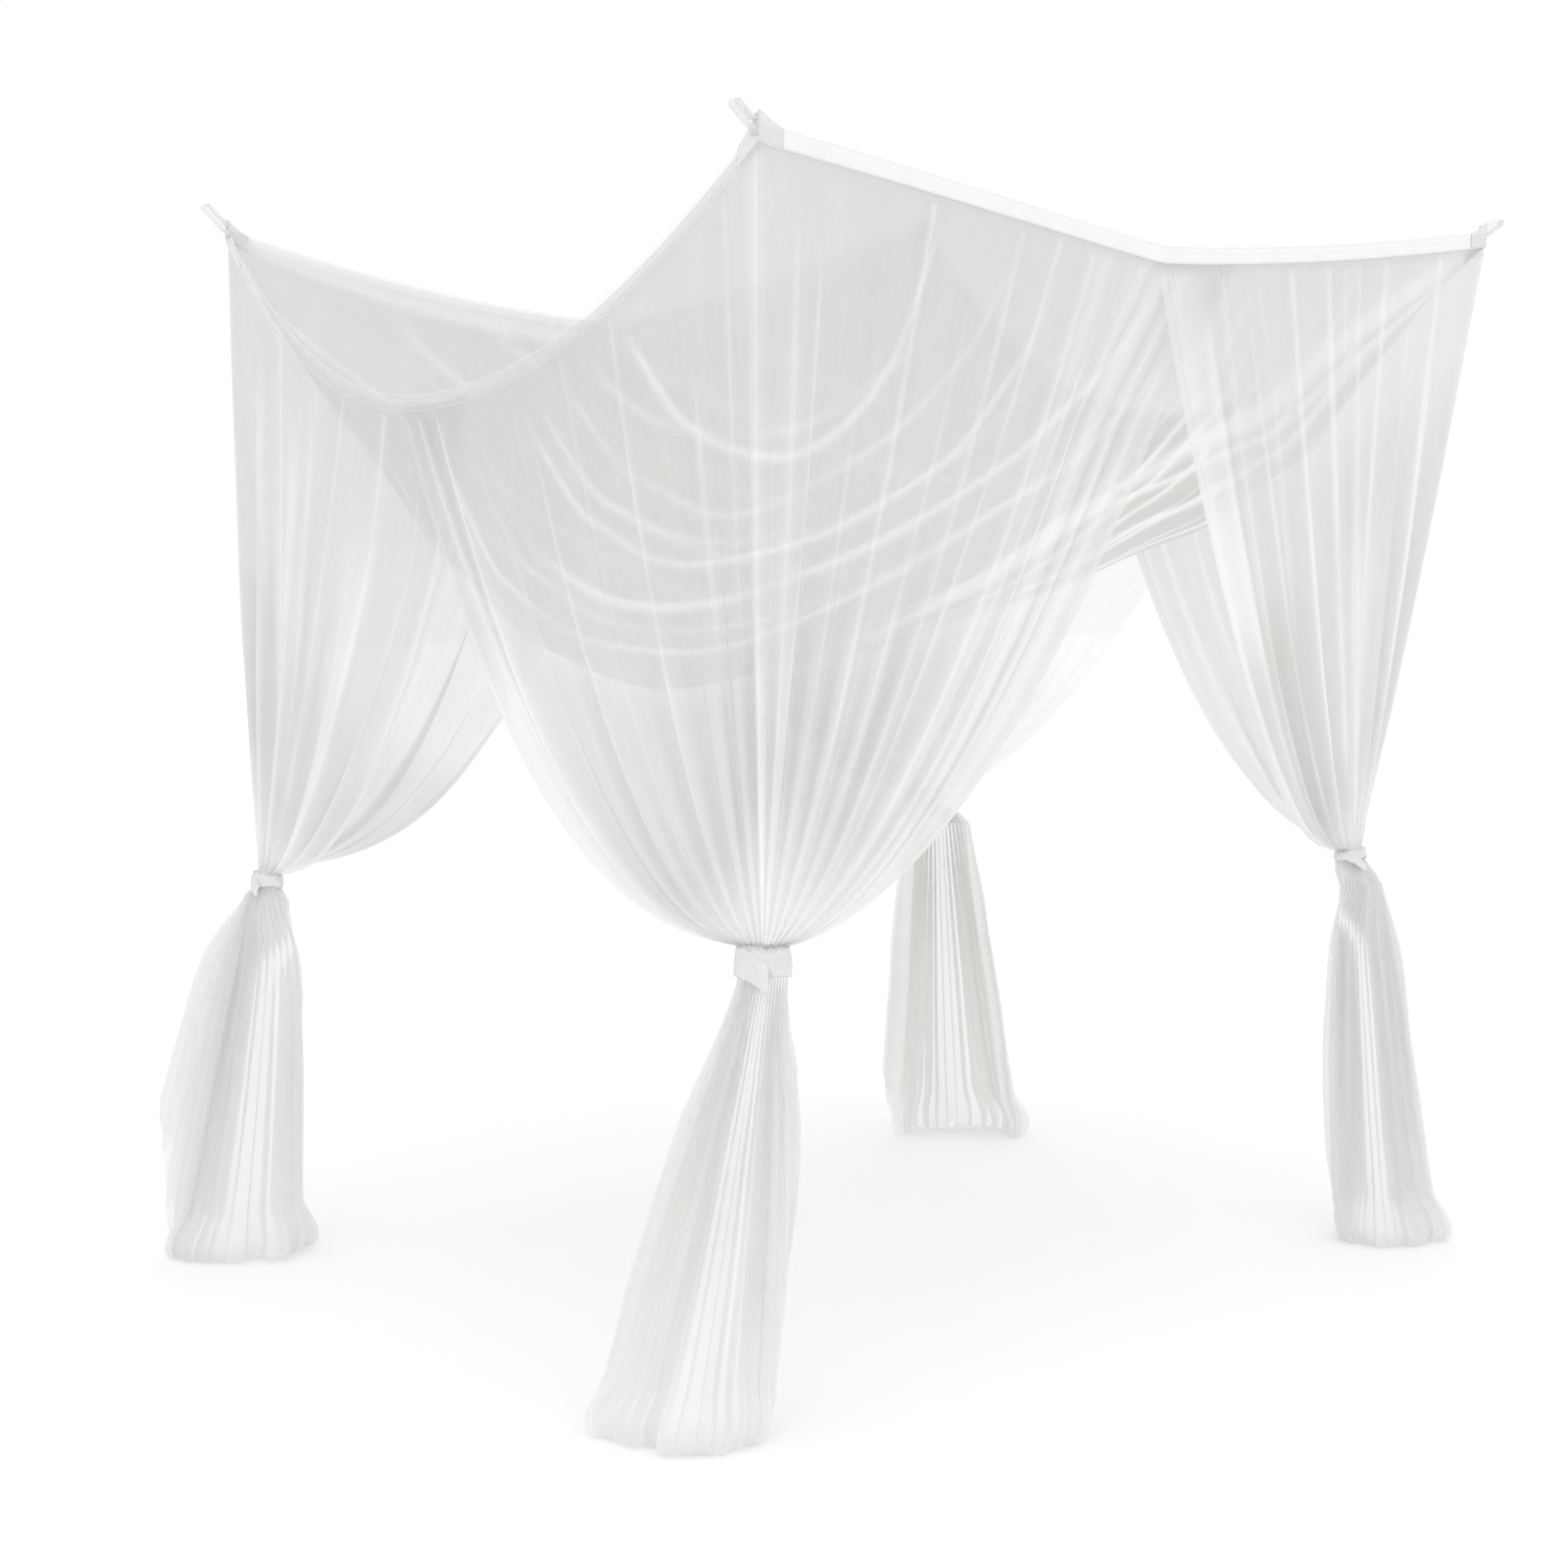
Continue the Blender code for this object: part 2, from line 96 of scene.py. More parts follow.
# The same for each side, from one corner to the next.
sideTable = {
    "name": ("near_right", "far_right", "far_left", "near_left"),
    "sag": (0.112, 0.44, 0.222, 0.373),     # how deep the heading hangs
    "skew": (0.22, 0.17, 0.15, -0.28),      # to which end
    "bow": (0.02, 0.01, 0.01, 0.005),       # how far inward
    "round": (1.15, 1.9, 1.3, 2.2),         # how full its curve is
    "tapeCover": (1.0, 0.4, 0.22, 0.06),    # how much of what is behind the tape it hides
}
corners, sides = ([dict(zip(table, row)) for row in zip(*table.values())]
                  for table in (cornerTable, sideTable))


def blend(start, end, share):
    return start + (end - start) * share


def smooth(share):
    share = min(1.0, max(0.0, share))
    return share * share * (3.0 - 2.0 * share)


def wobble(x, y, z):
    return noise.noise(Vector((x, y, z)))


def turned(direction, angle):
    return Matrix.Rotation(angle, 3, "Z") @ direction


def readTable(rows, at):
    # in-between values, mostly on a smooth curve, of a table whose first column rises
    for k in range(len(rows) - 1):
        if at <= rows[k + 1][0]:
            break
    share = min(1.0, max(0.0, (at - rows[k][0]) / (rows[k + 1][0] - rows[k][0])))
    after = rows[min(len(rows) - 1, k + 2)]
    values = []
    for a, b, c, d in zip(rows[max(0, k - 1)], rows[k], rows[k + 1], after):
        curve = 0.5 * (2 * b + (c - a) * share + (2 * a - 5 * b + 4 * c - d) * share ** 2
                       + (3 * b - a - 3 * c + d) * share ** 3)
        values.append(blend(blend(b, c, share), curve, 0.6))
    return values[1:]


def addObject(name, data):
    made = bpy.data.objects.new(name, data)
    bpy.context.scene.collection.objects.link(made)
    return made


# Cloth finishes
def newMaterial(name):
    made = bpy.data.materials.new(name)
    made.use_nodes = True
    made.node_tree.nodes.clear()
    return made, made.node_tree


def addNode(tree, kind, sockets, **settings):
    # each socket is given a value, or another node's output to join it to
    node = tree.nodes.new("ShaderNode" + kind)
    for name, value in settings.items():
        setattr(node, name, value)
    for name, value in sockets.items():
        if isinstance(value, bpy.types.NodeSocket):
            tree.links.new(value, node.inputs[name])
        else:
            node.inputs[name].default_value = value
    return node


def mathNode(tree, kind, first, second=0.0):
    return addNode(tree, "Math", {0: first, 1: second}, operation=kind).outputs[0]


def addScaled(tree, first, second, amount):
    return mathNode(tree, "ADD", first, mathNode(tree, "MULTIPLY", second, amount))


def rampNode(tree, value, low, high):
    sockets = {"Value": value, "From Min": low[0], "From Max": high[0],
               "To Min": low[1], "To Max": high[1]}
    return addNode(tree, "MapRange", sockets, clamp=True).outputs["Result"]


def noiseNode(tree, vector, scale, detail, roughness=0.5):
    return addNode(tree, "TexNoise", {"Vector": vector, "Scale": scale, "Detail": detail,
                                      "Roughness": roughness}).outputs["Fac"]


def mixColour(tree, share, first, second):
    return addNode(tree, "Mix", {"Factor": share, 6: first, 7: second},
                   data_type="RGBA").outputs[2]


def mixShader(tree, share, first, second):
    return addNode(tree, "MixShader", {0: share, 1: first, 2: second}).outputs[0]


def clothShader(tree, look, colour, **more):
    # light falls on the threads, and some of it comes through them
    thread = addNode(tree, "BsdfPrincipled",
                     {"Base Color": colour, "Roughness": look["roughness"],
                      "Sheen Weight": look["sheen"], **more})
    glow = addNode(tree, "BsdfTranslucent", {"Color": colour})
    return mixShader(tree, look["seeThroughGlow"], thread.outputs[0], glow.outputs[0])


def withHoles(tree, cover, cloth):
    hole = addNode(tree, "BsdfTransparent", {})
    return mixShader(tree, cover, hole.outputs[0], cloth)


meshLook = {
    "holePitch": 0.0019,          # metres from hole to hole
    "flatColour": (0.712, 0.714, 0.71, 1.0),
    "paintedLightColour": (0.97, 0.97, 0.962, 1.0),
    "agedColour": (0.705, 0.715, 0.665, 1.0),
    "aged": ((0.54, 0.0), (0.78, 0.7)),     # cloudiness and how yellow it is there
    "openCover": 0.3,            # how much of a layer is thread, from loose to tightly gathered
    "tightCover": 0.96,
    "unevenCover": 0.03,
    "weaveShow": 0.07,
    "cloudScale": 2.3,
    "streakCover": 0.012,
    "streakPaintedLight": 0.035,
    "streaks": (15.0, 0.8, 1.0),  # streaks to the metre across and along the cloth
    "streakRough": 0.65,
    "roughness": 0.88, "sheen": 0.15, "seeThroughGlow": 0.45,
}
doubledLook = dict(meshLook, seeThroughGlow=0.12)    # folded over something solid


def makeMeshMaterial(name, look):
    made, tree = newMaterial(name)
    where = addNode(tree, "TexCoord", {})
    onCloth = where.outputs["UV"]
    perMetre = 2 * pi / look["holePitch"]
    threads = 0.0
    for angle in (0, 60, 120):    # three sets of lines cross as a hexagon net
        across = (cos(radians(angle)) * perMetre, sin(radians(angle)) * perMetre, 0.0)
        line = addNode(tree, "VectorMath", {0: onCloth, 1: across}, operation="DOT_PRODUCT")
        threads = mathNode(tree, "ADD", threads, mathNode(tree, "COSINE", line.outputs["Value"]))
    weave = rampNode(tree, threads, (-1.2, 1.0), (0.8, -1.0))
    gathered = addNode(tree, "Attribute", {}, attribute_name="gathered").outputs["Fac"]
    paintedLight = addNode(tree, "Attribute", {}, attribute_name="paintedLight").outputs["Fac"]
    cloud = noiseNode(tree, where.outputs["Object"], look["cloudScale"], 3.0)
    # long thin streaks where the net is pulled: denser there, with a painted highlight along
    # each
    drawn = addNode(tree, "VectorMath", {0: onCloth, 1: look["streaks"]}, operation="MULTIPLY")
    streaks = noiseNode(tree, drawn.outputs["Vector"], 1.0, 4.0, look["streakRough"])
    streaks = rampNode(tree, streaks, (0.35, -1.0), (0.65, 1.0))

    cover = rampNode(tree, gathered, (0.0, look["openCover"]), (1.0, look["tightCover"]))
    uneven = rampNode(tree, cloud, (0.3, -look["unevenCover"]), (0.7, look["unevenCover"]))
    cover = mathNode(tree, "ADD", cover, uneven)
    cover = addScaled(tree, cover, weave, look["weaveShow"])
    cover = addScaled(tree, cover, streaks, look["streakCover"])

    aged = rampNode(tree, cloud, *look["aged"])
    base = mixColour(tree, aged, look["flatColour"], look["agedColour"])
    # painted light: the net is mixed from its flat grey towards white where the cloth's painted
    # light value and the streaks say
    white = addScaled(tree, paintedLight, streaks, look["streakPaintedLight"])
    white = rampNode(tree, white, (0.0, 0.0), (1.0, 1.0))
    colour = mixColour(tree, white, base, look["paintedLightColour"])
    cloth = clothShader(tree, look, colour)
    addNode(tree, "OutputMaterial", {"Surface": withHoles(tree, cover, cloth)})
    return made


tapeLook = {
    "colour": (0.972, 0.972, 0.966, 1.0),
    "shadeColour": (0.925, 0.927, 0.92, 1.0),
    "ribPitch": 0.0011, "ribHeight": 0.0001, "ribShow": 0.25, "bumpShow": 0.3,
    "stitchPitch": 0.0042, "stitchFromEdge": 0.004, "stitchSink": -0.4,
    "stitchRamp": ((0.0003, 1.0), (0.0009, 0.0)),     # distance, shade
    "foldedAt": 0.62,             # the edge folded under shows here, as a share of the width
    "foldedRamp": ((0.0006, 1.0), (0.0016, 0.0)),
    "cloudScale": 22.0,
    "hem": 0.0016, "hemSoft": 0.0008, "hemCover": 0.3,     # the edge of a thin tape
    "roughness": 0.8, "sheen": 0.2, "seeThroughGlow": 0.12,
}


def makeTapeMaterial(name, width, cover=1.0, look=tapeLook):
    made, tree = newMaterial(name)
    where = addNode(tree, "TexCoord", {})
    parted = addNode(tree, "SeparateXYZ", {0: where.outputs["UV"]})
    along, across = parted.outputs["X"], parted.outputs["Y"]

    def wave(pitch):
        return mathNode(tree, "SINE", mathNode(tree, "MULTIPLY", along, 2 * pi / pitch))

    def awayFrom(value, place):
        return mathNode(tree, "ABSOLUTE", mathNode(tree, "SUBTRACT", value, place))

    # two rows of stitches, each a set distance in from its edge
    fromMiddle = awayFrom(across, width / 2)
    row = awayFrom(fromMiddle, width / 2 - look["stitchFromEdge"])
    row = rampNode(tree, row, *look["stitchRamp"])
    dash = rampNode(tree, wave(look["stitchPitch"]), (-0.5, 0.0), (0.1, 1.0))
    stitch = mathNode(tree, "MULTIPLY", row, dash)
    cloud = noiseNode(tree, where.outputs["Object"], look["cloudScale"], 4.0)
    patchy = rampNode(tree, cloud, (0.35, 0.0), (0.75, 0.8))
    folded = rampNode(tree, awayFrom(across, width * look["foldedAt"]), *look["foldedRamp"])
    shade = mathNode(tree, "MAXIMUM", mathNode(tree, "MAXIMUM", patchy, stitch), folded)
    colour = mixColour(tree, shade, look["colour"], look["shadeColour"])

    rib = mathNode(tree, "MULTIPLY", wave(look["ribPitch"]), look["ribShow"])
    height = addScaled(tree, rib, stitch, look["stitchSink"])
    bump = addNode(tree, "Bump", {"Height": height, "Strength": look["bumpShow"],
                                  "Distance": look["ribHeight"]})
    surface = clothShader(tree, look, colour, Normal=bump.outputs[0])
    if cover < 1.0:    # thin tape that the net shows through
        hem = rampNode(tree, fromMiddle, (width / 2 - look["hem"], cover),
                       (width / 2 - look["hemSoft"], min(1.0, cover + look["hemCover"])))
        surface = withHoles(tree, hem, surface)
    addNode(tree, "OutputMaterial", {"Surface": surface})
    return made


def clothSheet(name, lines, finish, thickness=0.0):
    # lines of stitches: each is (point, (u, v), gathered, painted light), u and v in metres of
    # cloth
    wide = len(lines[0])
    flat = [stitch for line in lines for stitch in line]
    faces = [(k, k + 1, k + wide + 1, k + wide)
             for k in range(len(flat) - wide) if (k + 1) % wide]
    mesh = bpy.data.meshes.new(name)
    mesh.from_pydata([stitch[0] + net["move"] for stitch in flat], [], faces)
    mesh.shade_smooth()
    mesh.materials.append(finish)
    for label, place in (("gathered", 2), ("paintedLight", 3)):
        layer = mesh.attributes.new(label, "FLOAT", "POINT")
        layer.data.foreach_set("value", [min(1.0, max(0.0, s[place])) for s in flat])
    cut = mesh.uv_layers.new(name="cloth")
    cut.data.foreach_set("uv", [v for loop in mesh.loops for v in flat[loop.vertex_index][1]])
    made = addObject(name, mesh)
    if thickness:
        thick = made.modifiers.new("thickness", "SOLIDIFY")
        thick.thickness = thickness
        thick.offset = 0.0
    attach(made, "root")
    return made


meshFinish = makeMeshMaterial("white net, hexagon mesh", meshLook)
doubledFinish = makeMeshMaterial("white net, doubled", doubledLook)
print("finishes made")


# Heading tapes
headTape = {"height": 0.032, "thickness": 0.002, "sewnGap": 0.0004, "trim": 0.0015,
            "pucker": 0.0011, "puckersPerMetre": 16.0, "finerPerMetre": 45.0, "calmEnd": 0.05,
            "steps": 240, "rows": 6}


def sideLength(side):
    return net["longSide"] if side % 2 == 0 else net["shortSide"]


def layerInset(piece):
    # from the middle of the tape to the middle of a layer sewn to its inner face
    return headTape["thickness"] / 2 + headTape["sewnGap"] + piece["thickness"] / 2


def cornerTop(index):
    corner = corners[index % 4]
    return Vector((corner["x"], corner["y"], net["height"] + corner["lift"]))


def inwardFrom(side):
    start, end = cornerTop(side), cornerTop(side + 1)
    return Vector((start.y - end.y, end.x - start.x, 0.0)).normalized()


def headingPoint(side, share, inward, below=0.0):
    shape = sides[side % 4]
    hang = 1.0 - abs(2.0 * share - 1.0) ** shape["round"]
    hang *= 1.0 + shape["skew"] * (2.0 * share - 1.0)
    point = cornerTop(side).lerp(cornerTop(side + 1), share)
    point += inwardFrom(side) * (shape["bow"] * hang + inward)
    point.z -= shape["sag"] * hang + below
    return point


for side, shape in enumerate(sides):
    length = sideLength(side)
    finish = makeTapeMaterial("white tape, " + shape["name"], headTape["height"],
                              shape["tapeCover"])
    lines = []
    for i in range(headTape["rows"] + 1):
        down = i / headTape["rows"]
        line = []
        for j in range(headTape["steps"] + 1):
            share = blend(headTape["trim"] / length, 1.0 - headTape["trim"] / length,
                          j / headTape["steps"])
            tuck = wobble(share * length * headTape["puckersPerMetre"], side * 7.3, down * 1.5)
            tuck += 0.6 * wobble(share * length * headTape["finerPerMetre"], side * 3.1, 5.0)
            out = headTape["pucker"] * max(0.0, tuck) * (0.4 + 0.6 * down)
            ends = min(1.0, min(share, 1.0 - share) * length / headTape["calmEnd"])
            point = headingPoint(side, share, -out * ends, headTape["height"] * down)
            line.append((point, (share * length, headTape["height"] * (1.0 - down)), 1.0, 0.0))
        lines.append(line)
    nodeName = "heading_tape_" + shape["name"]
    tape = clothSheet("headingTape_" + shape["name"], lines, finish, headTape["thickness"])
    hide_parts(nodeName)
print("heading tapes made")


# Roof
roof = {
    "thickness": 0.001,
    "belly": 0.348,
    "edgeBelow": 0.005,
    "rings": 0.006, "ringCount": 9.0,
    "hollowReach": 0.16,
    "hollows": [(0.19, 0.57, 0.195), (0.87, 0.1, 0.126)],   # along, across, depth
    "steps": (296, 250),
    "ripple": 0.006,
    "fullness": (1.2, 1.35),      # cloth to the metre of each side
    "creaseHeight": 0.0032,
    "creaseSteps": 240, "creaseWander": 0.008, "creaseEnds": 0.06,
    "shown": 2.1, "mostShown": 1.3,         # how clearly the creases show
    "edgeBand": 0.015, "edgeSoft": 0.009,   # net lies doubled on the far tapes
    "cover": 0.6, "creasePaintedLight": 1.1, "edgePaintedLight": 0.6,
    # where the net is pulled from its edges down into the belly:
    # start, bend and end as (along, across), width, strength
    "creases": [
        ((0.21, 0), (0.28, 0.31), (0, 0.22), 0.0075, 0.9),
        ((0.27, 0), (0.22, 0.21), (0, 0.29), 0.0065, 0.35),
        ((0.31, 0), (0.27, 0.33), (0, 0.33), 0.0065, 0.55),
        ((0.37, 0), (0.36, 0.34), (0, 0.41), 0.007, 0.75),
        ((0.43, 0), (0.3, 0.34), (0, 0.38), 0.0065, 0.5),
        ((0.5, 0), (0.27, 0.45), (0, 0.49), 0.0095, 1),
        ((0.56, 0), (0.31, 0.51), (0, 0.57), 0.0085, 0.75),
        ((0.53, 0), (0.4, 0.4), (0, 0.53), 0.0065, 0.4),
        ((0.62, 0), (0.42, 0.55), (0, 0.63), 0.007, 0.5),
        ((0.67, 0), (0.52, 0.6), (0, 0.71), 0.0085, 0.85),
        ((0.75, 0), (0.56, 0.62), (0, 0.79), 0.007, 0.55),
        ((1, 0.02), (0.5, 0.03), (0.45, 0.44), 0.019, 0.85),
        ((1, 0.04), (0.55, 0.05), (0.4, 0.5), 0.008, 0.8),
        ((1, 0.03), (0.7, 0.06), (0.52, 0.48), 0.012, 0.6),
        ((1, 0.06), (0.78, 0.14), (0.5, 0.62), 0.015, 0.85),
        ((1, 0.09), (0.8, 0.26), (0.42, 0.72), 0.009, 0.6),
        ((0.64, 0), (0.58, 0.24), (0.34, 0.52), 0.008, 0.6),
        ((0.7, 0), (0.66, 0.2), (0.5, 0.46), 0.007, 0.6),
        ((0.8, 0), (0.72, 0.16), (0.56, 0.4), 0.0075, 0.65),
        ((0.87, 0), (0.8, 0.12), (0.62, 0.44), 0.007, 0.5),
        ((0, 0.9), (0.3, 0.8), (0.48, 0.55), 0.01, 0.6),
        ((0, 0.94), (0.42, 0.9), (0.66, 0.52), 0.008, 0.5),
        ((1, 0.14), (0.9, 0.7), (0.16, 1), 0.0085, 0.55),
        ((1, 0.26), (0.86, 0.86), (0.3, 1), 0.007, 0.45),
        ((1, 0.42), (0.88, 0.9), (0.46, 1), 0.008, 0.55),
        ((1, 0.6), (0.9, 0.92), (0.64, 1), 0.0065, 0.45),
    ],
}


def roofPoint(along, across):
    inset = layerInset(roof)
    joined = (headingPoint(0, along, inset) * (1.0 - across)
              + headingPoint(2, 1.0 - along, inset) * across
              + headingPoint(3, 1.0 - across, inset) * (1.0 - along)
              + headingPoint(1, across, inset) * along)
    for index, (u, v) in enumerate(((0, 0), (1, 0), (1, 1), (0, 1))):
        share = (along if u else 1.0 - along) * (across if v else 1.0 - across)
        joined -= cornerTop(index) * share
    hang = (4.0 * along * (1.0 - along)) * (4.0 * across * (1.0 - across))
    drop = roof["belly"] * sqrt(hang) + roof["edgeBelow"]
    drop += roof["rings"] * sqrt(hang) * cos(roof["ringCount"] * pi * sqrt(hang))
    for u, v, depth in roof["hollows"]:
        apart = (along - u) ** 2 + (across - v) ** 2
        drop += depth * exp(-apart / (2.0 * roof["hollowReach"] ** 2)) * min(1.0, 4.0 * hang)
    joined.z -= drop
    return joined, hang


def pulledCloth(count, rows):
    # how strongly the creases show at each stitch of the roof
    shown = [[0.0] * (count + 1) for row in range(rows + 1)]
    wide, deep = net["longSide"], net["shortSide"]
    for number, (start, bend, end, width, strength) in enumerate(roof["creases"]):
        start, bend, end = Vector(start), Vector(bend), Vector(end)
        beads = {}
        for step in range(roof["creaseSteps"] + 1):
            t = step / roof["creaseSteps"]
            spot = start * (1 - t) ** 2 + bend * (2 * t * (1 - t)) + end * t ** 2
            wander = roof["creaseWander"] * wobble(t * 4.0, number * 3.3, 1.7)
            spot = spot + Vector((wander, wander))
            fade = 0.62 + 0.62 * wobble(t * 5.0, number * 7.1, 4.0)
            fade *= smooth(t / roof["creaseEnds"]) * smooth((1.0 - t) / roof["creaseEnds"])
            spread = width * (0.85 + 0.35 * sin(pi * t))
            reach = ceil(2.4 * spread * count / wide)
            i, j = round(spot.x * count), round(spot.y * rows)
            for row in range(max(0, j - reach), min(rows, j + reach) + 1):
                for column in range(max(0, i - reach), min(count, i + reach) + 1):
                    away = ((column / count - spot.x) * wide) ** 2
                    away += ((row / rows - spot.y) * deep) ** 2
                    value = strength * fade * exp(-away / spread ** 2)
                    if value > beads.get((row, column), 0.01):
                        beads[(row, column)] = value
        for (row, column), value in beads.items():
            shown[row][column] += value
    return shown


lines = []
stepsAlong, stepsAcross = roof["steps"]
creased = pulledCloth(stepsAlong, stepsAcross)
for j in range(stepsAcross + 1):
    line = []
    for i in range(stepsAlong + 1):
        along, across = i / stepsAlong, j / stepsAcross
        point, hang = roofPoint(along, across)
        pulled = min(roof["mostShown"], roof["shown"] * creased[j][i])
        fromEdge = min((1.0 - along) * net["longSide"], (1.0 - across) * net["shortSide"])
        edged = smooth((roof["edgeBand"] - fromEdge) / roof["edgeSoft"])
        ripple = wobble(along * 6.0, across * 5.0, 0.3)
        inside = min(1.0, 6.0 * hang)
        point.z += (roof["creaseHeight"] * pulled + roof["ripple"] * ripple) * inside
        spot = (along * net["longSide"] * roof["fullness"][0],
                across * net["shortSide"] * roof["fullness"][1])
        # the creases and the doubled edge are denser, and whitened with painted highlight
        line.append((point, spot, blend(roof["cover"], 1.0, max(min(1.0, pulled), edged)),
                     roof["creasePaintedLight"] * pulled + roof["edgePaintedLight"] * edged))
    lines.append(line)
roofNet = clothSheet("roofNet", lines, meshFinish)
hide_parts("roof_net")
print("roof made")


# Corner curtains
curtain = {
    "thickness": 0.001,
    "behindTape": 0.012, "tapeEdge": 0.004,
    "lapLead": 0.12, "lapLean": 0.2, "lapMost": 0.06,
    "foldsPerMetre": 7.0,
    "folds": [(1.0, 1.1), (0.8, 0.7), (1.25, 1.25), (0.9, 0.85),      # width, depth
              (1.1, 0.6), (0.75, 1.15), (1.3, 0.95)],
    "tiedWidth": 0.086, "tiedDepth": 0.04, "tiedTurn": 8, "tiedOval": 0.35,
    "facingAtKnot": 0.5, "turnedIn": 0.052,
    "tieMargin": 0.012, "neckRows": 4,
    "fuller": 0.65,              # deeper folds half way down
    "uneven": 0.005,
    # points from a ridge to the valley beside it, closest in the valley
    "swell": 4.5,
    "wavePoints": (0.0, 0.2, 0.38, 0.54, 0.67, 0.78, 0.87, 0.94),
    "fanRows": 54, "tailRows": 44,
    "hem": 0.02, "hemEdge": 0.004,
    # down, widened, bend of its front, depth of folds, slump at the floor
    "tail": [
        (0, 0, 8, 0.052, 0), (0.03, 0.03, 12, 0.053, 0), (0.065, 0.07, 17, 0.054, 0),
        (0.105, 0.12, 24, 0.055, 0), (0.155, 0.18, 30, 0.056, 0), (0.22, 0.27, 40, 0.057, 0),
        (0.3, 0.38, 50, 0.058, 0), (0.5, 0.62, 64, 0.06, 0), (0.7, 0.84, 72, 0.06, 0),
        (0.88, 0.96, 76, 0.058, 0.2), (0.94, 1, 78, 0.052, 0.8), (0.98, 1, 78, 0.046, 1),
        (1, 1, 78, 0.042, 0.8)],
    "tailFacesBy": 0.24, "tailJutsBy": 0.065, "tailRoundBy": 0.3, "tailUnevenBy": 0.5,
    "tailValleys": 0.6,         # how much of a valley's depth the fine sheet keeps
    # over 1, broad smooth ridges with narrow valleys between
    "fanFlatter": 2.4, "tailFlatter": 7.0,
    # heights of the few broad folds of a tail, of its rumples and of the finest
    "broadFolds": 0.006, "rumples": 0.004, "fineRumples": 0.001,
    "slumpShare": 0.26, "slumpMost": 0.045, "slumpUneven": 0.6, "lobes": 0.022,
    "pleatHeight": 0.0045,
    "pleatReach": 6.0, "pleatTighter": 0.35, "pleatEnds": (0.1, 0.15), "mostShown": 1.3,
}

# How gathered the net looks and how much painted light whitens it, as (gathered, painted light)
curtainLook = {
    "underTape": (0.25, 0.2), "neck": (0.3, 1.0),
    "lowGathered": 0.8, "lowWithin": 0.13,  # below the corner's thickFrom
    # what each of these adds in the fan over the tie and in the tail under it
    # the second value is painted light: highlights on pinched lines, hems, broad folds and
    # rumples, light in valleys, at the neck and tail top to offset their shade, and painted
    # shade at the tail's edges
    "pinched": (0.4, 1.1), "hem": (0.2, 0.3), "nearTie": (-0.34, 0.65),
    "valley": (0.0, 0.1), "lowValley": (-0.14, 0.5),
    "tail": 0.5, "tailValley": (0.0, 0.5), "broadFold": (0.0, 0.05), "rumple": (0.08, 0.1),
    "tailTop": (0.0, 0.14), "tailEdge": (0.35, -0.25),
    "nearTieFrom": 0.7, "tailTopTo": 0.45, "tailEdgeFrom": 0.9,
}

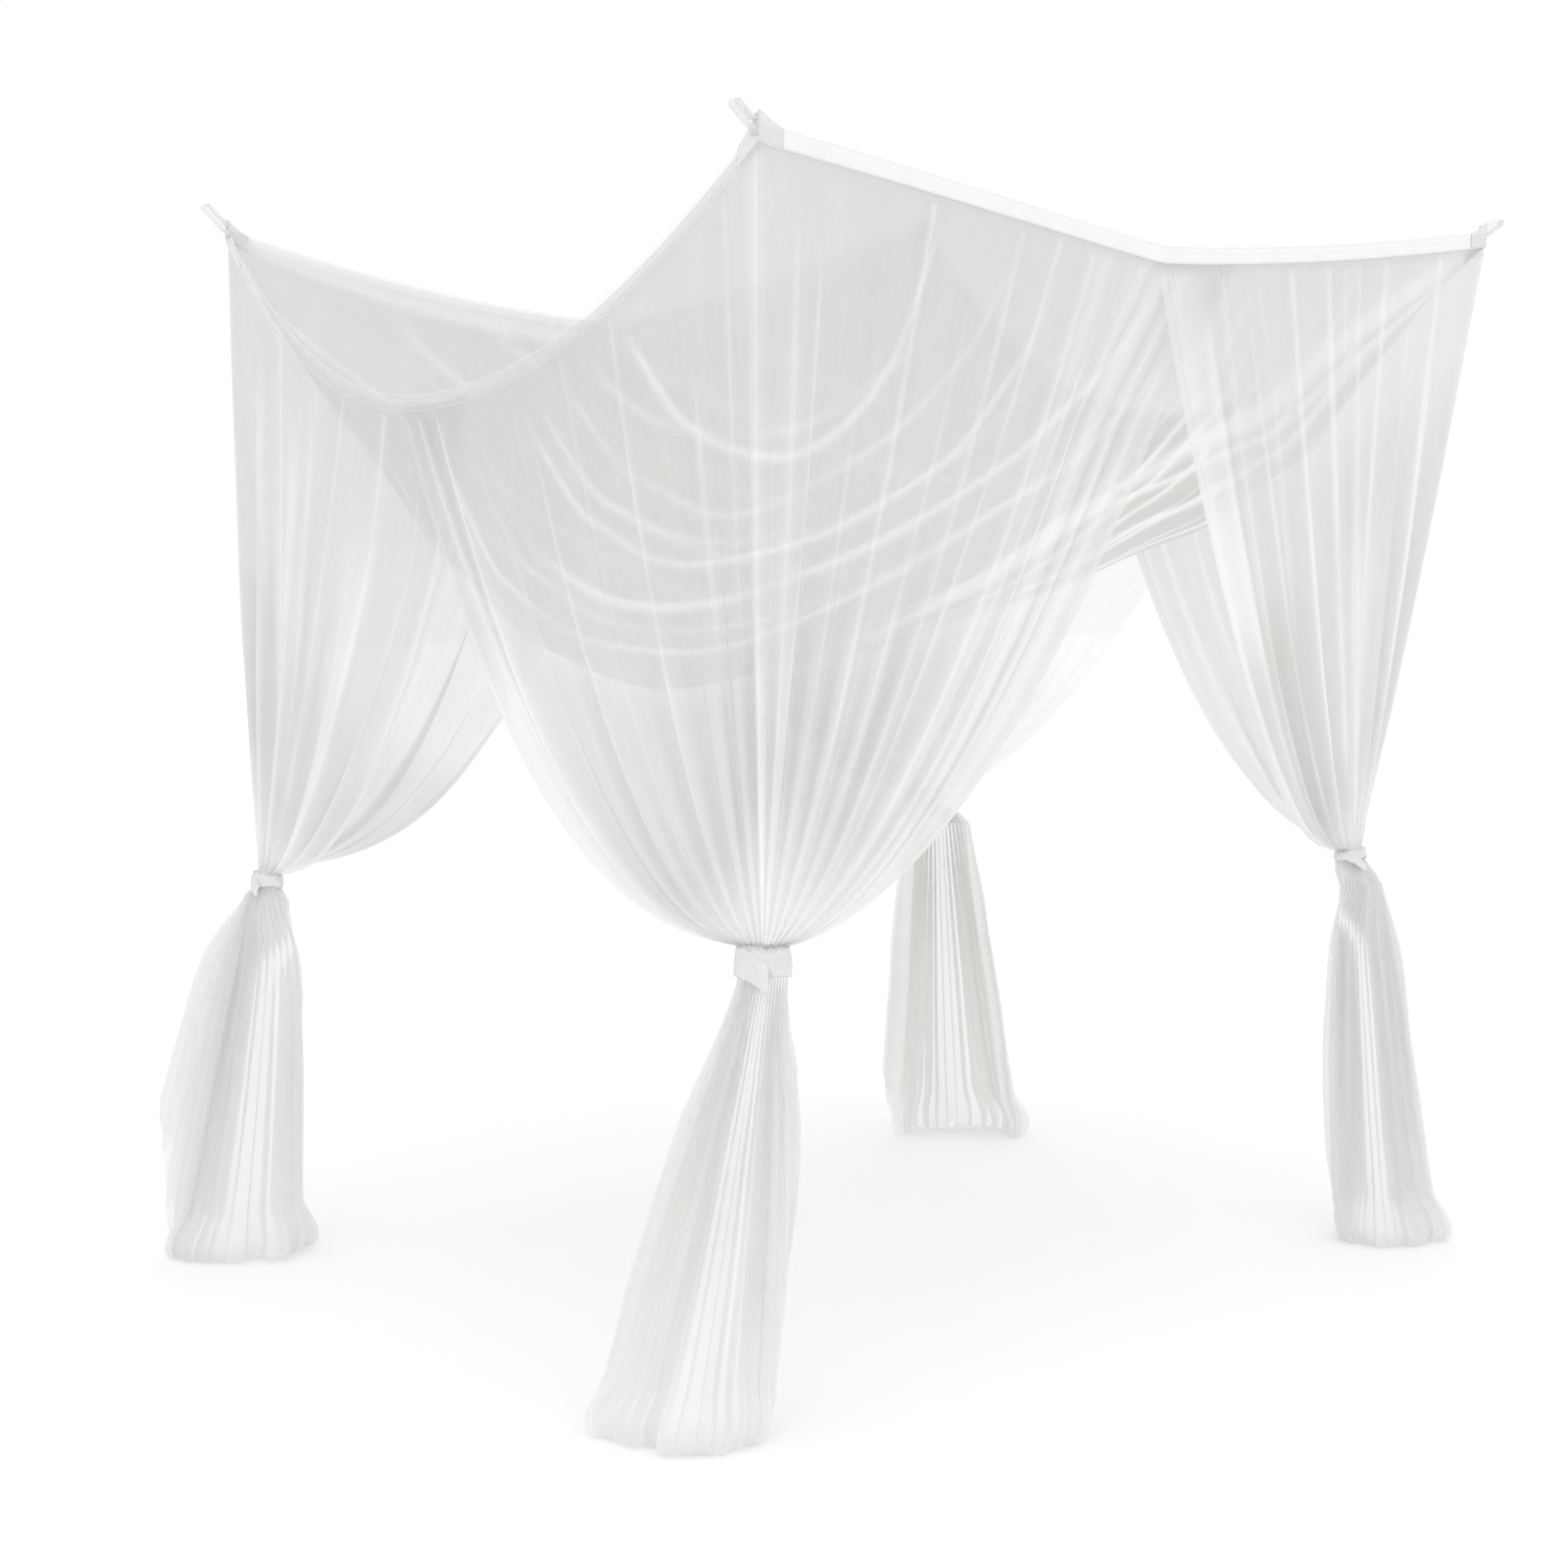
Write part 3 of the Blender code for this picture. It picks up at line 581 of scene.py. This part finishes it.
# Pinched lines that run from the heading to the tie, by corner.
# share from the corner to the free edge, width, strength, and where it starts and ends
# if it doesn't run the whole way
pleats = {
    "near": [
        (-0.95, 0.006, 0.8), (-0.89, 0.0045, 1), (-0.8, 0.0035, 0.5, 0.1, 0.9),
        (-0.72, 0.005, 0.4, 0.3, 1), (-0.64, 0.004, 0.8, 0.05, 0.9), (-0.53, 0.003, 0.4, 0, 0.7),
        (-0.38, 0.0045, 1), (-0.29, 0.003, 0.4, 0.2, 0.8), (-0.21, 0.005, 0.7, 0.15, 1),
        (-0.09, 0.0035, 0.5, 0, 0.7), (-0.01, 0.008, 0.35), (0.05, 0.004, 0.6, 0.3, 1),
        (0.095, 0.007, 0.8, 0.04, 1), (0.14, 0.0035, 0.9, 0.08, 0.9),
        (0.22, 0.004, 0.4, 0.25, 1), (0.34, 0.0045, 1), (0.44, 0.0035, 0.5, 0.1, 0.8),
        (0.54, 0.005, 0.9), (0.61, 0.0035, 0.6, 0, 0.9), (0.67, 0.0055, 0.9),
        (0.73, 0.004, 0.8, 0.05, 1), (0.79, 0.0055, 1), (0.85, 0.004, 0.8, 0.02, 1),
        (0.91, 0.006, 1), (0.96, 0.005, 0.7, 0.05, 1)],
    "right": [
        (-0.965, 0.011, 1), (-0.9, 0.007, 0.8, 0.02, 1), (-0.84, 0.006, 1),
        (-0.75, 0.0035, 0.6, 0.05, 0.9), (-0.68, 0.004, 0.5, 0.1, 1), (-0.61, 0.005, 1),
        (-0.52, 0.004, 0.8, 0, 0.8), (-0.46, 0.0035, 0.5, 0, 0.9), (-0.4, 0.005, 0.9),
        (-0.31, 0.004, 0.9), (-0.22, 0.0035, 0.6, 0.05, 0.8), (-0.12, 0.006, 0.8),
        (0, 0.006, 0.7), (0.15, 0.004, 0.6, 0.1, 1), (0.3, 0.0045, 0.7, 0, 0.9),
        (0.47, 0.004, 0.6, 0.1, 1), (0.63, 0.0045, 0.6, 0, 0.9), (0.78, 0.005, 0.7, 0.05, 1),
        (0.9, 0.0055, 0.8), (0.96, 0.005, 0.6, 0.05, 1)],
    "far": [
        (-0.94, 0.006, 0.8), (-0.84, 0.0045, 0.7, 0.05, 1), (-0.66, 0.004, 0.6, 0, 0.9),
        (-0.45, 0.005, 0.7, 0.1, 1), (-0.22, 0.004, 0.6, 0, 0.8), (0, 0.006, 0.6),
        (0.2, 0.004, 0.6, 0.05, 1), (0.42, 0.005, 0.7, 0, 0.9), (0.64, 0.0045, 0.6, 0.1, 1),
        (0.82, 0.005, 0.7), (0.94, 0.0055, 0.7, 0.05, 1)],
    "left": [
        (-0.95, 0.0055, 0.7, 0.05, 1), (-0.84, 0.0045, 0.6, 0.1, 1), (-0.7, 0.004, 0.5, 0, 0.8),
        (-0.59, 0.005, 0.8, 0.1, 1), (-0.4, 0.0045, 0.9), (-0.28, 0.0035, 0.5, 0.1, 0.8),
        (-0.17, 0.005, 1), (-0.09, 0.004, 0.8), (0, 0.006, 0.7), (0.14, 0.0035, 0.5, 0.1, 0.9),
        (0.24, 0.0045, 0.7), (0.39, 0.005, 0.8, 0.05, 1), (0.53, 0.0035, 0.5, 0, 0.8),
        (0.66, 0.005, 0.8), (0.8, 0.0045, 0.8, 0.05, 1), (0.91, 0.006, 0.9)],
}


def cornerSigns(corner):
    return (1.0 if corner["x"] > net["longSide"] / 2 else -1.0,
            1.0 if corner["y"] > net["shortSide"] / 2 else -1.0)


def outward(corner):
    return Vector((*cornerSigns(corner), 0.0)).normalized()


def facing(corner, amount):
    return turned(outward(corner), radians(corner["turn"]) * amount)


def aroundCorner(index, place, inward, below):
    # on the heading, at a distance before or after a corner
    if place < 0:
        return headingPoint(index - 1, 1.0 + place / sideLength(index - 1), inward, below)
    if place > 0:
        return headingPoint(index, place / sideLength(index), inward, below)
    return (cornerTop(index) - outward(corners[index]) * inward * sqrt(2)
            - Vector((0.0, 0.0, below)))


def knotCentre(corner):
    centre = Vector((corner["x"], corner["y"], corner["knot"]))
    return centre - outward(corner) * corner["inset"]


def halfWidth(index, after):
    side = index if after else index - 1
    return sideLength(side) / 2 + corners[index]["after" if after else "before"]


def foldLines(index):
    # (place, share, height of the wave, depth) at each ridge and valley, edge to edge
    halves = []
    for after in (False, True):
        half = halfWidth(index, after)
        count = ceil(half * curtain["foldsPerMetre"])
        first = index * 3 + 1 if after else index * 2
        chosen = [curtain["folds"][(first + i) % len(curtain["folds"])] for i in range(count)]
        total = sum(fold[0] for fold in chosen)
        sign = 1 if after else -1
        made, place = [], 0.0
        for i, (width, depth) in enumerate(chosen):
            width *= half / total
            made.append((sign * (place + 0.5 * width), sign * (2 * i + 1) / (2 * count),
                         -1, depth))
            place += width
            made.append((sign * place, sign * (2 * i + 2) / (2 * count), 1, depth))
        halves.append(made)
    return list(reversed(halves[0])) + [(0.0, 0.0, 1, 1.0)] + halves[1]


def curtainColumns(index):
    # closer columns at each pinched line, so that its narrow fold is round
    folds = foldLines(index)
    marks = []
    for k in range(len(folds) - 1):
        for part in curtain["wavePoints"]:
            marks.append(k + part if folds[k][2] > 0 else k + 1.0 - part)
    marks += [k + 0.0 for k in range(len(folds))]
    shares = [fold[1] for fold in folds]
    for share, width, *rest in pleats[corners[index]["name"]]:
        for k in range(len(folds) - 1):
            if shares[k] <= share <= shares[k + 1]:
                at = k + (share - shares[k]) / (shares[k + 1] - shares[k])
                spacing = abs(folds[k + 1][0] - folds[k][0])
                for away in (0.35, 0.8, 1.3, 2.0, 3.2, 5.5, 9.0):
                    marks += [at - away * width / spacing, at + away * width / spacing]
                marks.append(at)
                break
    marks = sorted(m for m in marks if 0.0 <= m <= len(folds) - 1)
    kept = [marks[0]]
    for mark in marks[1:]:
        if mark - kept[-1] > 0.012:
            kept.append(mark)
    kept[-1] = len(folds) - 1.0
    columns = []
    for mark in kept:
        k = min(int(mark), len(folds) - 2)
        part = mark - k
        a, b = folds[k], folds[k + 1]
        wave = blend(a[2], b[2], 0.5 - 0.5 * cos(pi * part))
        # gathered tightly, the ridges swell until they meet over the valleys
        swollen = part ** curtain["swell"]
        if a[2] > 0:
            swollen = 1.0 - (1.0 - part) ** curtain["swell"]
        columns.append({"place": blend(a[0], b[0], part), "share": blend(a[1], b[1], part),
                        "closed": blend(a[1], b[1], swollen), "wave": wave,
                        "depth": blend(a[3], b[3], part)})
    return columns


def oval(share):
    return curtain["tiedOval"] + (1.0 - curtain["tiedOval"]) * sqrt(max(0.0, 1.0 - share ** 2))


def gatheredPoint(way, share, width, bend, centre):
    radius = width / (2.0 * sin(radians(bend)))
    direction = turned(way, radians(bend) * share)
    return centre + (direction - way) * radius, direction


def lappedIn(index, column, below):
    if column["place"] <= 0:
        return 0.0
    lap = corners[index]["after"] + corners[(index + 1) % 4]["before"]
    start = halfWidth(index, True) - lap - curtain["lapLead"]
    behind = smooth((column["place"] - start) / curtain["lapLead"])
    clear = curtain["thickness"] + headTape["sewnGap"] + curtain["lapLean"] * below
    return behind * min(curtain["lapMost"], clear)


def pinchedHere(index, column, share):
    # sideways tuck, lift and strength of the pinched lines at this stitch
    tuck = lift = shown = 0.0
    half = halfWidth(index, column["place"] > 0)
    spacing = half * (1.0 - share) + 0.5 * curtain["tiedWidth"] * share
    tighter = 1.0 - curtain["pleatTighter"] * share
    starts, ends = curtain["pleatEnds"]
    for number, pleat in enumerate(pleats[corners[index]["name"]]):
        at, width, strength = pleat[:3]
        first, last = pleat[3:] or (0.0, 1.0)
        away = (column["share"] - at) * spacing
        width *= tighter
        if abs(away) > curtain["pleatReach"] * width:
            continue
        fade = smooth((share - first) / starts) if first > 0 else 1.0
        if last < 1.0:
            fade *= smooth((last - share) / ends)
        fade *= 0.72 + 0.55 * wobble(share * 6.0, number * 5.1, index * 3.7)
        fade *= 1.0 - smooth((share - 0.86) / 0.14)
        near = exp(-(away / (1.8 * width)) ** 2)
        steep = tanh(2.0 * away / width)
        tuck -= 0.9 * strength * fade * width * steep * exp(-(away / (3.0 * width)) ** 2)
        lift += curtain["pleatHeight"] * strength * fade * (0.5 + 0.5 * steep) \
            * exp(-(max(0.0, away) / (2.5 * width)) ** 2)
        halo = exp(-(away / (width * (1.5 + 3.5 * share))) ** 2)
        shown += strength * fade * ((0.55 - 0.25 * share) * near + 0.22 * halo
                                    + 0.45 * exp(-(1.3 * away / width) ** 2))
    return tuck, lift, min(curtain["mostShown"], shown)


def paintedLightAt(corner, share, down):
    # painted highlight bands where gathers lie over one another, and painted shade lines, over
    # painted light that changes from the heading down
    total = 0.0
    for middle, width, strength, first, last in corner["bands"]:
        shown = smooth((down - first) / 0.15) * smooth((last - down) / 0.15)
        total += strength * shown * exp(-((share - middle) / width) ** 2)
    return total + blend(corner["paintedLightTop"], corner["paintedLightLow"], smooth((down - 0.2) / 0.7))


def netLook(gathered, paintedLight, amounts):
    for name, amount in amounts.items():
        gathered += curtainLook[name][0] * amount
        paintedLight += curtainLook[name][1] * amount
    return gathered, paintedLight


def fanStitches(index, column, top, tied):
    # from the heading down to the tie
    corner, look = corners[index], curtainLook
    share = column["share"]
    edge = halfWidth(index, column["place"] > 0) - abs(column["place"])
    hemmed = smooth((curtain["hem"] - edge) / curtain["hemEdge"])
    used = headTape["height"] + curtain["tapeEdge"]
    sideTurn = radians(45) * max(-1.0, min(1.0, column["place"] / curtain["turnedIn"]))
    tiedTurn = radians(corner["turn"] * curtain["facingAtKnot"] + curtain["tiedTurn"] * share)
    slack = corner["slackAfter"] if column["place"] > 0 else corner["slackBefore"]
    power = 1.0 + slack * abs(share)
    middleFrom, slopeBefore, slopeAfter = corner["thickFrom"]
    thickFrom = middleFrom + (slopeAfter if share > 0 else slopeBefore) * abs(share)
    last = top
    stitches = []
    for row in range(1, curtain["fanRows"] + 1):
        down = row / curtain["fanRows"]
        down = blend(down, smooth(down), 0.45)
        fall = (top.z - tied.z) * (1.0 - (1.0 - down) ** power)
        point = top.lerp(tied, down)
        point.z = top.z - fall
        inner = lappedIn(index, column, fall) - lappedIn(index, column, 0.0)
        point += inwardFrom(index) * inner * (1.0 - down)
        way = turned(outward(corner), blend(sideTurn, tiedTurn, smooth(down)))
        deep = curtain["tiedDepth"] * blend(column["depth"], 1.0, down ** 3)
        deep *= blend(1.0, oval(share), down ** 3) * down ** 0.8
        deep *= 1.0 + curtain["fuller"] * sin(pi * down)
        tuck, lift, shown = pinchedHere(index, column, down)
        soft = curtain["uneven"] * sin(pi * down) * wobble(share * 4.0, down * 3.0, index)
        flatness = blend(1.0, curtain["fanFlatter"], smooth(down / 0.3))
        valley = (0.5 - 0.5 * column["wave"]) ** flatness
        point += way * (deep * (0.5 - valley))
        used += (point - last).length
        last = point
        placed = point + way * (lift * (1.0 - down) + soft)
        placed += turned(way, pi / 2) * tuck * (1.0 - down ** 4)
        nearTie = smooth((down - look["nearTieFrom"]) / (1.0 - look["nearTieFrom"]))
        shown *= 1.0 - 0.8 * smooth((down - 0.62) / 0.3)
        lower = smooth((down - thickFrom) / look["lowWithin"])
        # painted light: whiter along pinched lines and hems, near the tie and in the valleys,
        # with the corner's painted highlight bands and painted shade lines
        seen = netLook(blend(corner["thinTop"], look["lowGathered"], lower),
                       paintedLightAt(corner, share, down),
                       {"pinched": shown, "hem": hemmed, "nearTie": nearTie,
                        "valley": valley, "lowValley": valley * down ** 2})
        stitches.append((placed, used, *seen))
    return stitches, last, used


def tailStitches(index, column, start, used):
    # from the tie down to the floor
    corner, look = corners[index], curtainLook
    share = column["share"]
    centre = knotCentre(corner)
    left = net["drop"] - used
    foot = max(net["floorGap"], start - left)
    slumped = min(curtain["slumpMost"], curtain["slumpShare"] * max(0.0, left - start))
    sideways = turned(facing(corner, 1.0), pi / 2)
    lobe = curtain["lobes"] * wobble(share * 3.0 + index * 4.0, 0.5, 3.0)
    stitches = []
    for row in range(1, curtain["tailRows"] + 1):
        down = row / curtain["tailRows"]
        down = blend(down, 1.0 - (1.0 - down) ** 1.8, 0.5)
        widened, bend, deep, slump = readTable(curtain["tail"], down)
        way = facing(corner, blend(curtain["facingAtKnot"], 1.0,
                                   smooth(down / curtain["tailFacesBy"])))
        middle = Vector((centre.x, centre.y, blend(start, foot, down)))
        middle += sideways * (corner["lean"] * down
                              + corner["jut"] * smooth(down / curtain["tailJutsBy"]))
        width = blend(corner["shoulder"], corner["foot"], widened)
        point, way = gatheredPoint(way, column["closed"], width, bend, middle)
        thin = blend(oval(share), 1.0, smooth(down / curtain["tailRoundBy"]))
        uneven = blend(1.0, column["depth"], smooth(down / curtain["tailUnevenBy"]))
        rumple = wobble(share * 5.0 + index * 9.0, down * 4.0, 2.0)
        fine = wobble(share * 14.0, down * 9.0 + index * 5.0, 7.0)
        bent = wobble(share * 1.6, down * 1.8, index * 6.0)
        broad = sin(5.2 * share + 2.0 * index + 1.5 * bent)
        kept = blend(1.0, curtain["tailValleys"], smooth(down / 0.1))
        flatness = blend(curtain["fanFlatter"], curtain["tailFlatter"], smooth(down / 0.2))
        valley = (0.5 - 0.5 * column["wave"]) ** flatness
        out = 0.5 * blend(1.0, -kept, valley) * deep * uneven * thin
        out += slump * slumped * (1.0 + curtain["slumpUneven"] * rumple) + slump * lobe
        out += smooth(down / 0.25) * (curtain["broadFolds"] * broad + curtain["rumples"] * rumple
                                      + curtain["fineRumples"] * fine)
        point += way * out
        point.z = max(point.z, net["floorGap"])
        upper = smooth((look["tailTopTo"] - down) / look["tailTopTo"])
        outer = smooth((abs(share) - look["tailEdgeFrom"]) / 0.08)
        # painted light: whiter in the tail, its valleys and near its top to offset their shade,
        # and on broad folds and rumples that stand out; painted shade at its outer edges
        seen = netLook(look["tail"], corner["tailPaintedLight"],
                       {"tailValley": valley, "broadFold": broad, "rumple": rumple,
                        "tailTop": upper, "tailEdge": outer})
        stitches.append((point, used + left * down, *seen))
    return stitches


def curtainLine(index, column):
    corner = corners[index]
    tied = gatheredPoint(facing(corner, curtain["facingAtKnot"]), column["closed"],
                         curtain["tiedWidth"], curtain["tiedTurn"], knotCentre(corner))[0]
    inset = layerInset(curtain) + lappedIn(index, column, 0.0)
    tall, shown = headTape["height"], curtain["tapeEdge"]
    stitches = []
    for below in (tall - curtain["behindTape"], tall - shown, tall + shown):
        point = aroundCorner(index, column["place"], inset, below)
        stitches.append((point, below, *curtainLook["underTape"]))
    fan, last, used = fanStitches(index, column, stitches[-1][0], tied)
    stitches += fan
    neck = corner["band"] + curtain["tieMargin"]
    for row in range(1, curtain["neckRows"] + 1):
        under = neck * row / curtain["neckRows"]
        stitches.append((last - Vector((0.0, 0.0, under)), used + under, *curtainLook["neck"]))
    stitches += tailStitches(index, column, tied.z - neck, used + neck)
    return [(point, (column["place"], length), *seen) for point, length, *seen in stitches]


for index, corner in enumerate(corners):
    lines = [curtainLine(index, column) for column in curtainColumns(index)]
    name = "curtain_" + corner["name"]
    panel = clothSheet("cornerCurtain_" + corner["name"], lines, meshFinish)
    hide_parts(name)
    print("curtain made:", corner["name"], len(lines), "x", len(lines[0]))


# Ties
tie = {
    "thickness": 0.0015, "clearWide": 0.0046, "clearDeep": 0.0022, "setBack": 0.0015,
    "lapGap": 0.001, "start": radians(-50), "end": radians(62),
    "lapStart": radians(22), "lapRise": radians(20),
    "endOut": 0.01, "endDrop": 0.026,
    "crumple": 0.003, "droop": 0.005, "edgeWave": 0.004,
    "topUp": 0.005, "rollIn": 0.0038, "rollFlat": 0.8,     # how the upper edge turns in
    "steps": 150, "rows": 12,
}
# the ties are the same tape in a greyer copy: painted shade on the knots
shadedTieLook = dict(tapeLook, colour=(0.94, 0.94, 0.93, 1.0),
               shadeColour=(0.89, 0.89, 0.88, 1.0), seeThroughGlow=0.3)

for index, corner in enumerate(corners):
    finish = makeTapeMaterial("white tie, " + corner["name"], corner["band"], look=shadedTieLook)
    ahead = facing(corner, curtain["facingAtKnot"])
    across = turned(ahead, pi / 2)
    middle = knotCentre(corner) - ahead * tie["setBack"]
    wide = curtain["tiedWidth"] / 2 + tie["clearWide"]
    deep = curtain["tiedDepth"] / 2 + tie["clearDeep"]
    lines = []
    for i in range(tie["rows"] + 1):
        part = i / tie["rows"]
        rolled = (1.0 - part) ** 4
        line = []
        length, last = 0.0, None
        for j in range(tie["steps"] + 1):
            turn = (2.0 * pi + tie["end"]) * j / tie["steps"]
            past = turn - 2.0 * pi
            over = smooth((past + tie["lapStart"]) / tie["lapRise"])
            free = max(0.0, past / tie["end"])
            crease = wobble(turn * 3.5, part * 2.2, index * 4.0)
            crease += 0.5 * wobble(turn * 8.0, part * 1.2, index * 4.0 + 9.0)
            out = over * (tie["thickness"] + tie["lapGap"]) + tie["endOut"] * free
            out += tie["crumple"] * (0.45 + crease)
            out *= 1.0 - tie["rollFlat"] * rolled
            out -= tie["rollIn"] * rolled
            angle = tie["start"] + turn
            point = middle + across * sin(angle) * (wide + out) \
                + ahead * cos(angle) * (deep + out)
            point.z -= curtain["tieMargin"] / 2 + corner["band"] * part
            point.z -= tie["endDrop"] * free ** 1.3
            point.z += tie["droop"] * wobble(turn * 1.3, index * 5.0, part * 0.8)
            point.z += tie["edgeWave"] * wobble(turn * 4.5, part * 2.0, 3.0)
            point.z += tie["topUp"] * (1.0 - part) ** 2
            length += (point - last).length if last else 0.0
            last = point
            line.append((point, (length, corner["band"] * (1.0 - part)), 1.0, 0.0))
        lines.append(line)
    band = clothSheet("curtainTie_" + corner["name"], lines, finish, tie["thickness"])
    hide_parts("tie_" + corner["name"])
print("ties made")


# Corner patches
patch = {"arm": 0.052, "rise": 0.02, "turnedUnder": 0.001, "shortBy": 0.002,
         "thickness": 0.001, "pulls": 9.0, "pullOut": 0.0008, "armsOut": 0.0005,
         "cover": 0.85, "white": 0.55, "pullPaintedLight": 0.3, "steps": 18, "rows": 12}

for index, corner in enumerate(corners):
    lines = []
    for row in range(patch["rows"] + 1):
        part = row / patch["rows"]
        line = []
        for i in range(-patch["steps"], patch["steps"] + 1):
            away = abs(i) / patch["steps"]
            place = patch["arm"] * i / patch["steps"]
            upper = -patch["turnedUnder"] - patch["rise"] * (1.0 - away) ** 1.5
            below = blend(upper, headTape["height"] - patch["shortBy"], part)
            pull = max(0.0, cos(patch["pulls"] * pi * away / (0.4 + part)))
            out = -layerInset(patch) - patch["pullOut"] * pull * (1.0 - part)
            out -= patch["armsOut"] * min(1.0, 4.0 * away)
            point = aroundCorner(index, place, out, below)
            # painted light over the patch, with a painted highlight on each pulled fold
            line.append((point, (place, below), patch["cover"],
                         patch["white"] + patch["pullPaintedLight"] * pull))
        lines.append(line)
    piece = clothSheet("cornerPatch_" + corner["name"], lines, doubledFinish,
                       patch["thickness"])
    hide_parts("corner_patch_" + corner["name"])
print("corner patches made")


# Hanging loops
strap = {"width": 0.018, "thickness": 0.0016, "foot": 0.011, "rootOut": 0.003,
         "footSpread": 0.002, "belowTop": 0.002, "pastCorner": 0.001, "eye": 0.012,
         "bendSteps": 16, "rows": 6}
strapLook = dict(tapeLook, ribHeight=0.00003, seeThroughGlow=0.4)
strapFinish = makeTapeMaterial("white strap", strap["width"], look=strapLook)


def strapLine(corner):
    # from the lower foot, out along the slope, round the eye and back, as (out, up)
    tilt = radians(corner["tilt"])
    along, up = Vector((cos(tilt), sin(tilt))), Vector((-sin(tilt), cos(tilt)))
    bend = strap["eye"] / 2 + strap["thickness"] / 2
    out = headTape["sewnGap"] + strap["thickness"] / 2
    root = Vector((out + strap["rootOut"], 0.0))
    tip = root + along * (corner["strap"] - bend)
    slope = [root.lerp(tip, part) for part in (0.15, 0.3, 0.5, 0.75)]
    turns = [-pi / 2 + pi * i / strap["bendSteps"] for i in range(strap["bendSteps"] + 1)]
    return ([Vector((out, -bend - strap["foot"])), Vector((out, -bend))]
            + [point - up * bend for point in slope]
            + [tip + along * cos(turn) * bend + up * sin(turn) * bend for turn in turns]
            + [point + up * bend for point in reversed(slope)]
            + [Vector((out, bend + strap["footSpread"])), Vector((out, bend + strap["foot"]))])


for corner in corners:
    right, away = cornerSigns(corner)
    face = headTape["thickness"] / 2 + headTape["sewnGap"] + patch["thickness"]
    profile = strapLine(corner)
    lines = []
    for row in range(strap["rows"] + 1):
        part = row / strap["rows"]
        line, length = [], 0.0
        for k, spot in enumerate(profile):
            length += (spot - profile[k - 1]).length if k else 0.0
            point = Vector((corner["x"] + right * (face + spot.x),
                            corner["y"] - away * (strap["width"] * part - strap["pastCorner"]),
                            net["height"] + corner["lift"] + spot.y - strap["belowTop"]))
            line.append((point, (length, strap["width"] * part), 1.0, 0.0))
        lines.append(line)
    loop = clothSheet("hangingLoop_" + corner["name"], lines, strapFinish, strap["thickness"])
    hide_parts("loop_" + corner["name"])
print("hanging loops made")


# Floor, light and camera
studio = {"floorSize": 60.0, "floorColour": (0.955, 0.955, 0.955, 1.0), "floorRoughness": 0.9,
          "floorShine": 0.1, "floorMiddle": (1.0, 0.8),
          "skyColour": (1.0, 1.0, 1.0, 1.0), "skyStrength": 1.0,
          "sunStrength": 0.45, "sunAngle": 70, "sunTilt": (18, -14),
          "cameraAt": (-2.7909, -3.2416, -0.7143), "cameraTurn": 0.7302, "cameraTilt": 0.0919,
          "lens": 59.68, "sensor": 36.0, "clipEnd": 200.0}

floorMesh = bpy.data.meshes.new("studioFloor")
half = studio["floorSize"] / 2
floorMesh.from_pydata([(-half, -half, 0), (half, -half, 0), (half, half, 0), (-half, half, 0)],
                      [], [(0, 1, 2, 3)])
floor = addObject("studioFloor", floorMesh)
floor.location = (*studio["floorMiddle"], net["move"].z)
floorFinish, tree = newMaterial("pale floor")
paint = addNode(tree, "BsdfPrincipled", {"Base Color": studio["floorColour"],
                                         "Roughness": studio["floorRoughness"],
                                         "Specular IOR Level": studio["floorShine"]})
addNode(tree, "OutputMaterial", {"Surface": paint.outputs[0]})
floorMesh.materials.append(floorFinish)

world = bpy.data.worlds.new("studio light")
world.use_nodes = True
sky = world.node_tree.nodes["Background"]
sky.inputs["Color"].default_value = studio["skyColour"]
sky.inputs["Strength"].default_value = studio["skyStrength"]
bpy.context.scene.world = world
bpy.context.scene.view_settings.view_transform = "Standard"

sun = bpy.data.lights.new("softOverhead", "SUN")
sun.energy = studio["sunStrength"]
sun.angle = radians(studio["sunAngle"])
overhead = addObject("softOverhead", sun)
overhead.rotation_euler = [radians(angle) for angle in (*studio["sunTilt"], 0)]

lens = bpy.data.cameras.new("studioCamera")
lens.sensor_width = studio["sensor"]
lens.lens = studio["lens"]
lens.clip_end = studio["clipEnd"]
camera = addObject("studioCamera", lens)
camera.location = studio["cameraAt"]
camera.rotation_euler = (pi / 2 - studio["cameraTilt"], 0.0, -studio["cameraTurn"])
bpy.context.scene.camera = camera
print("studio made")
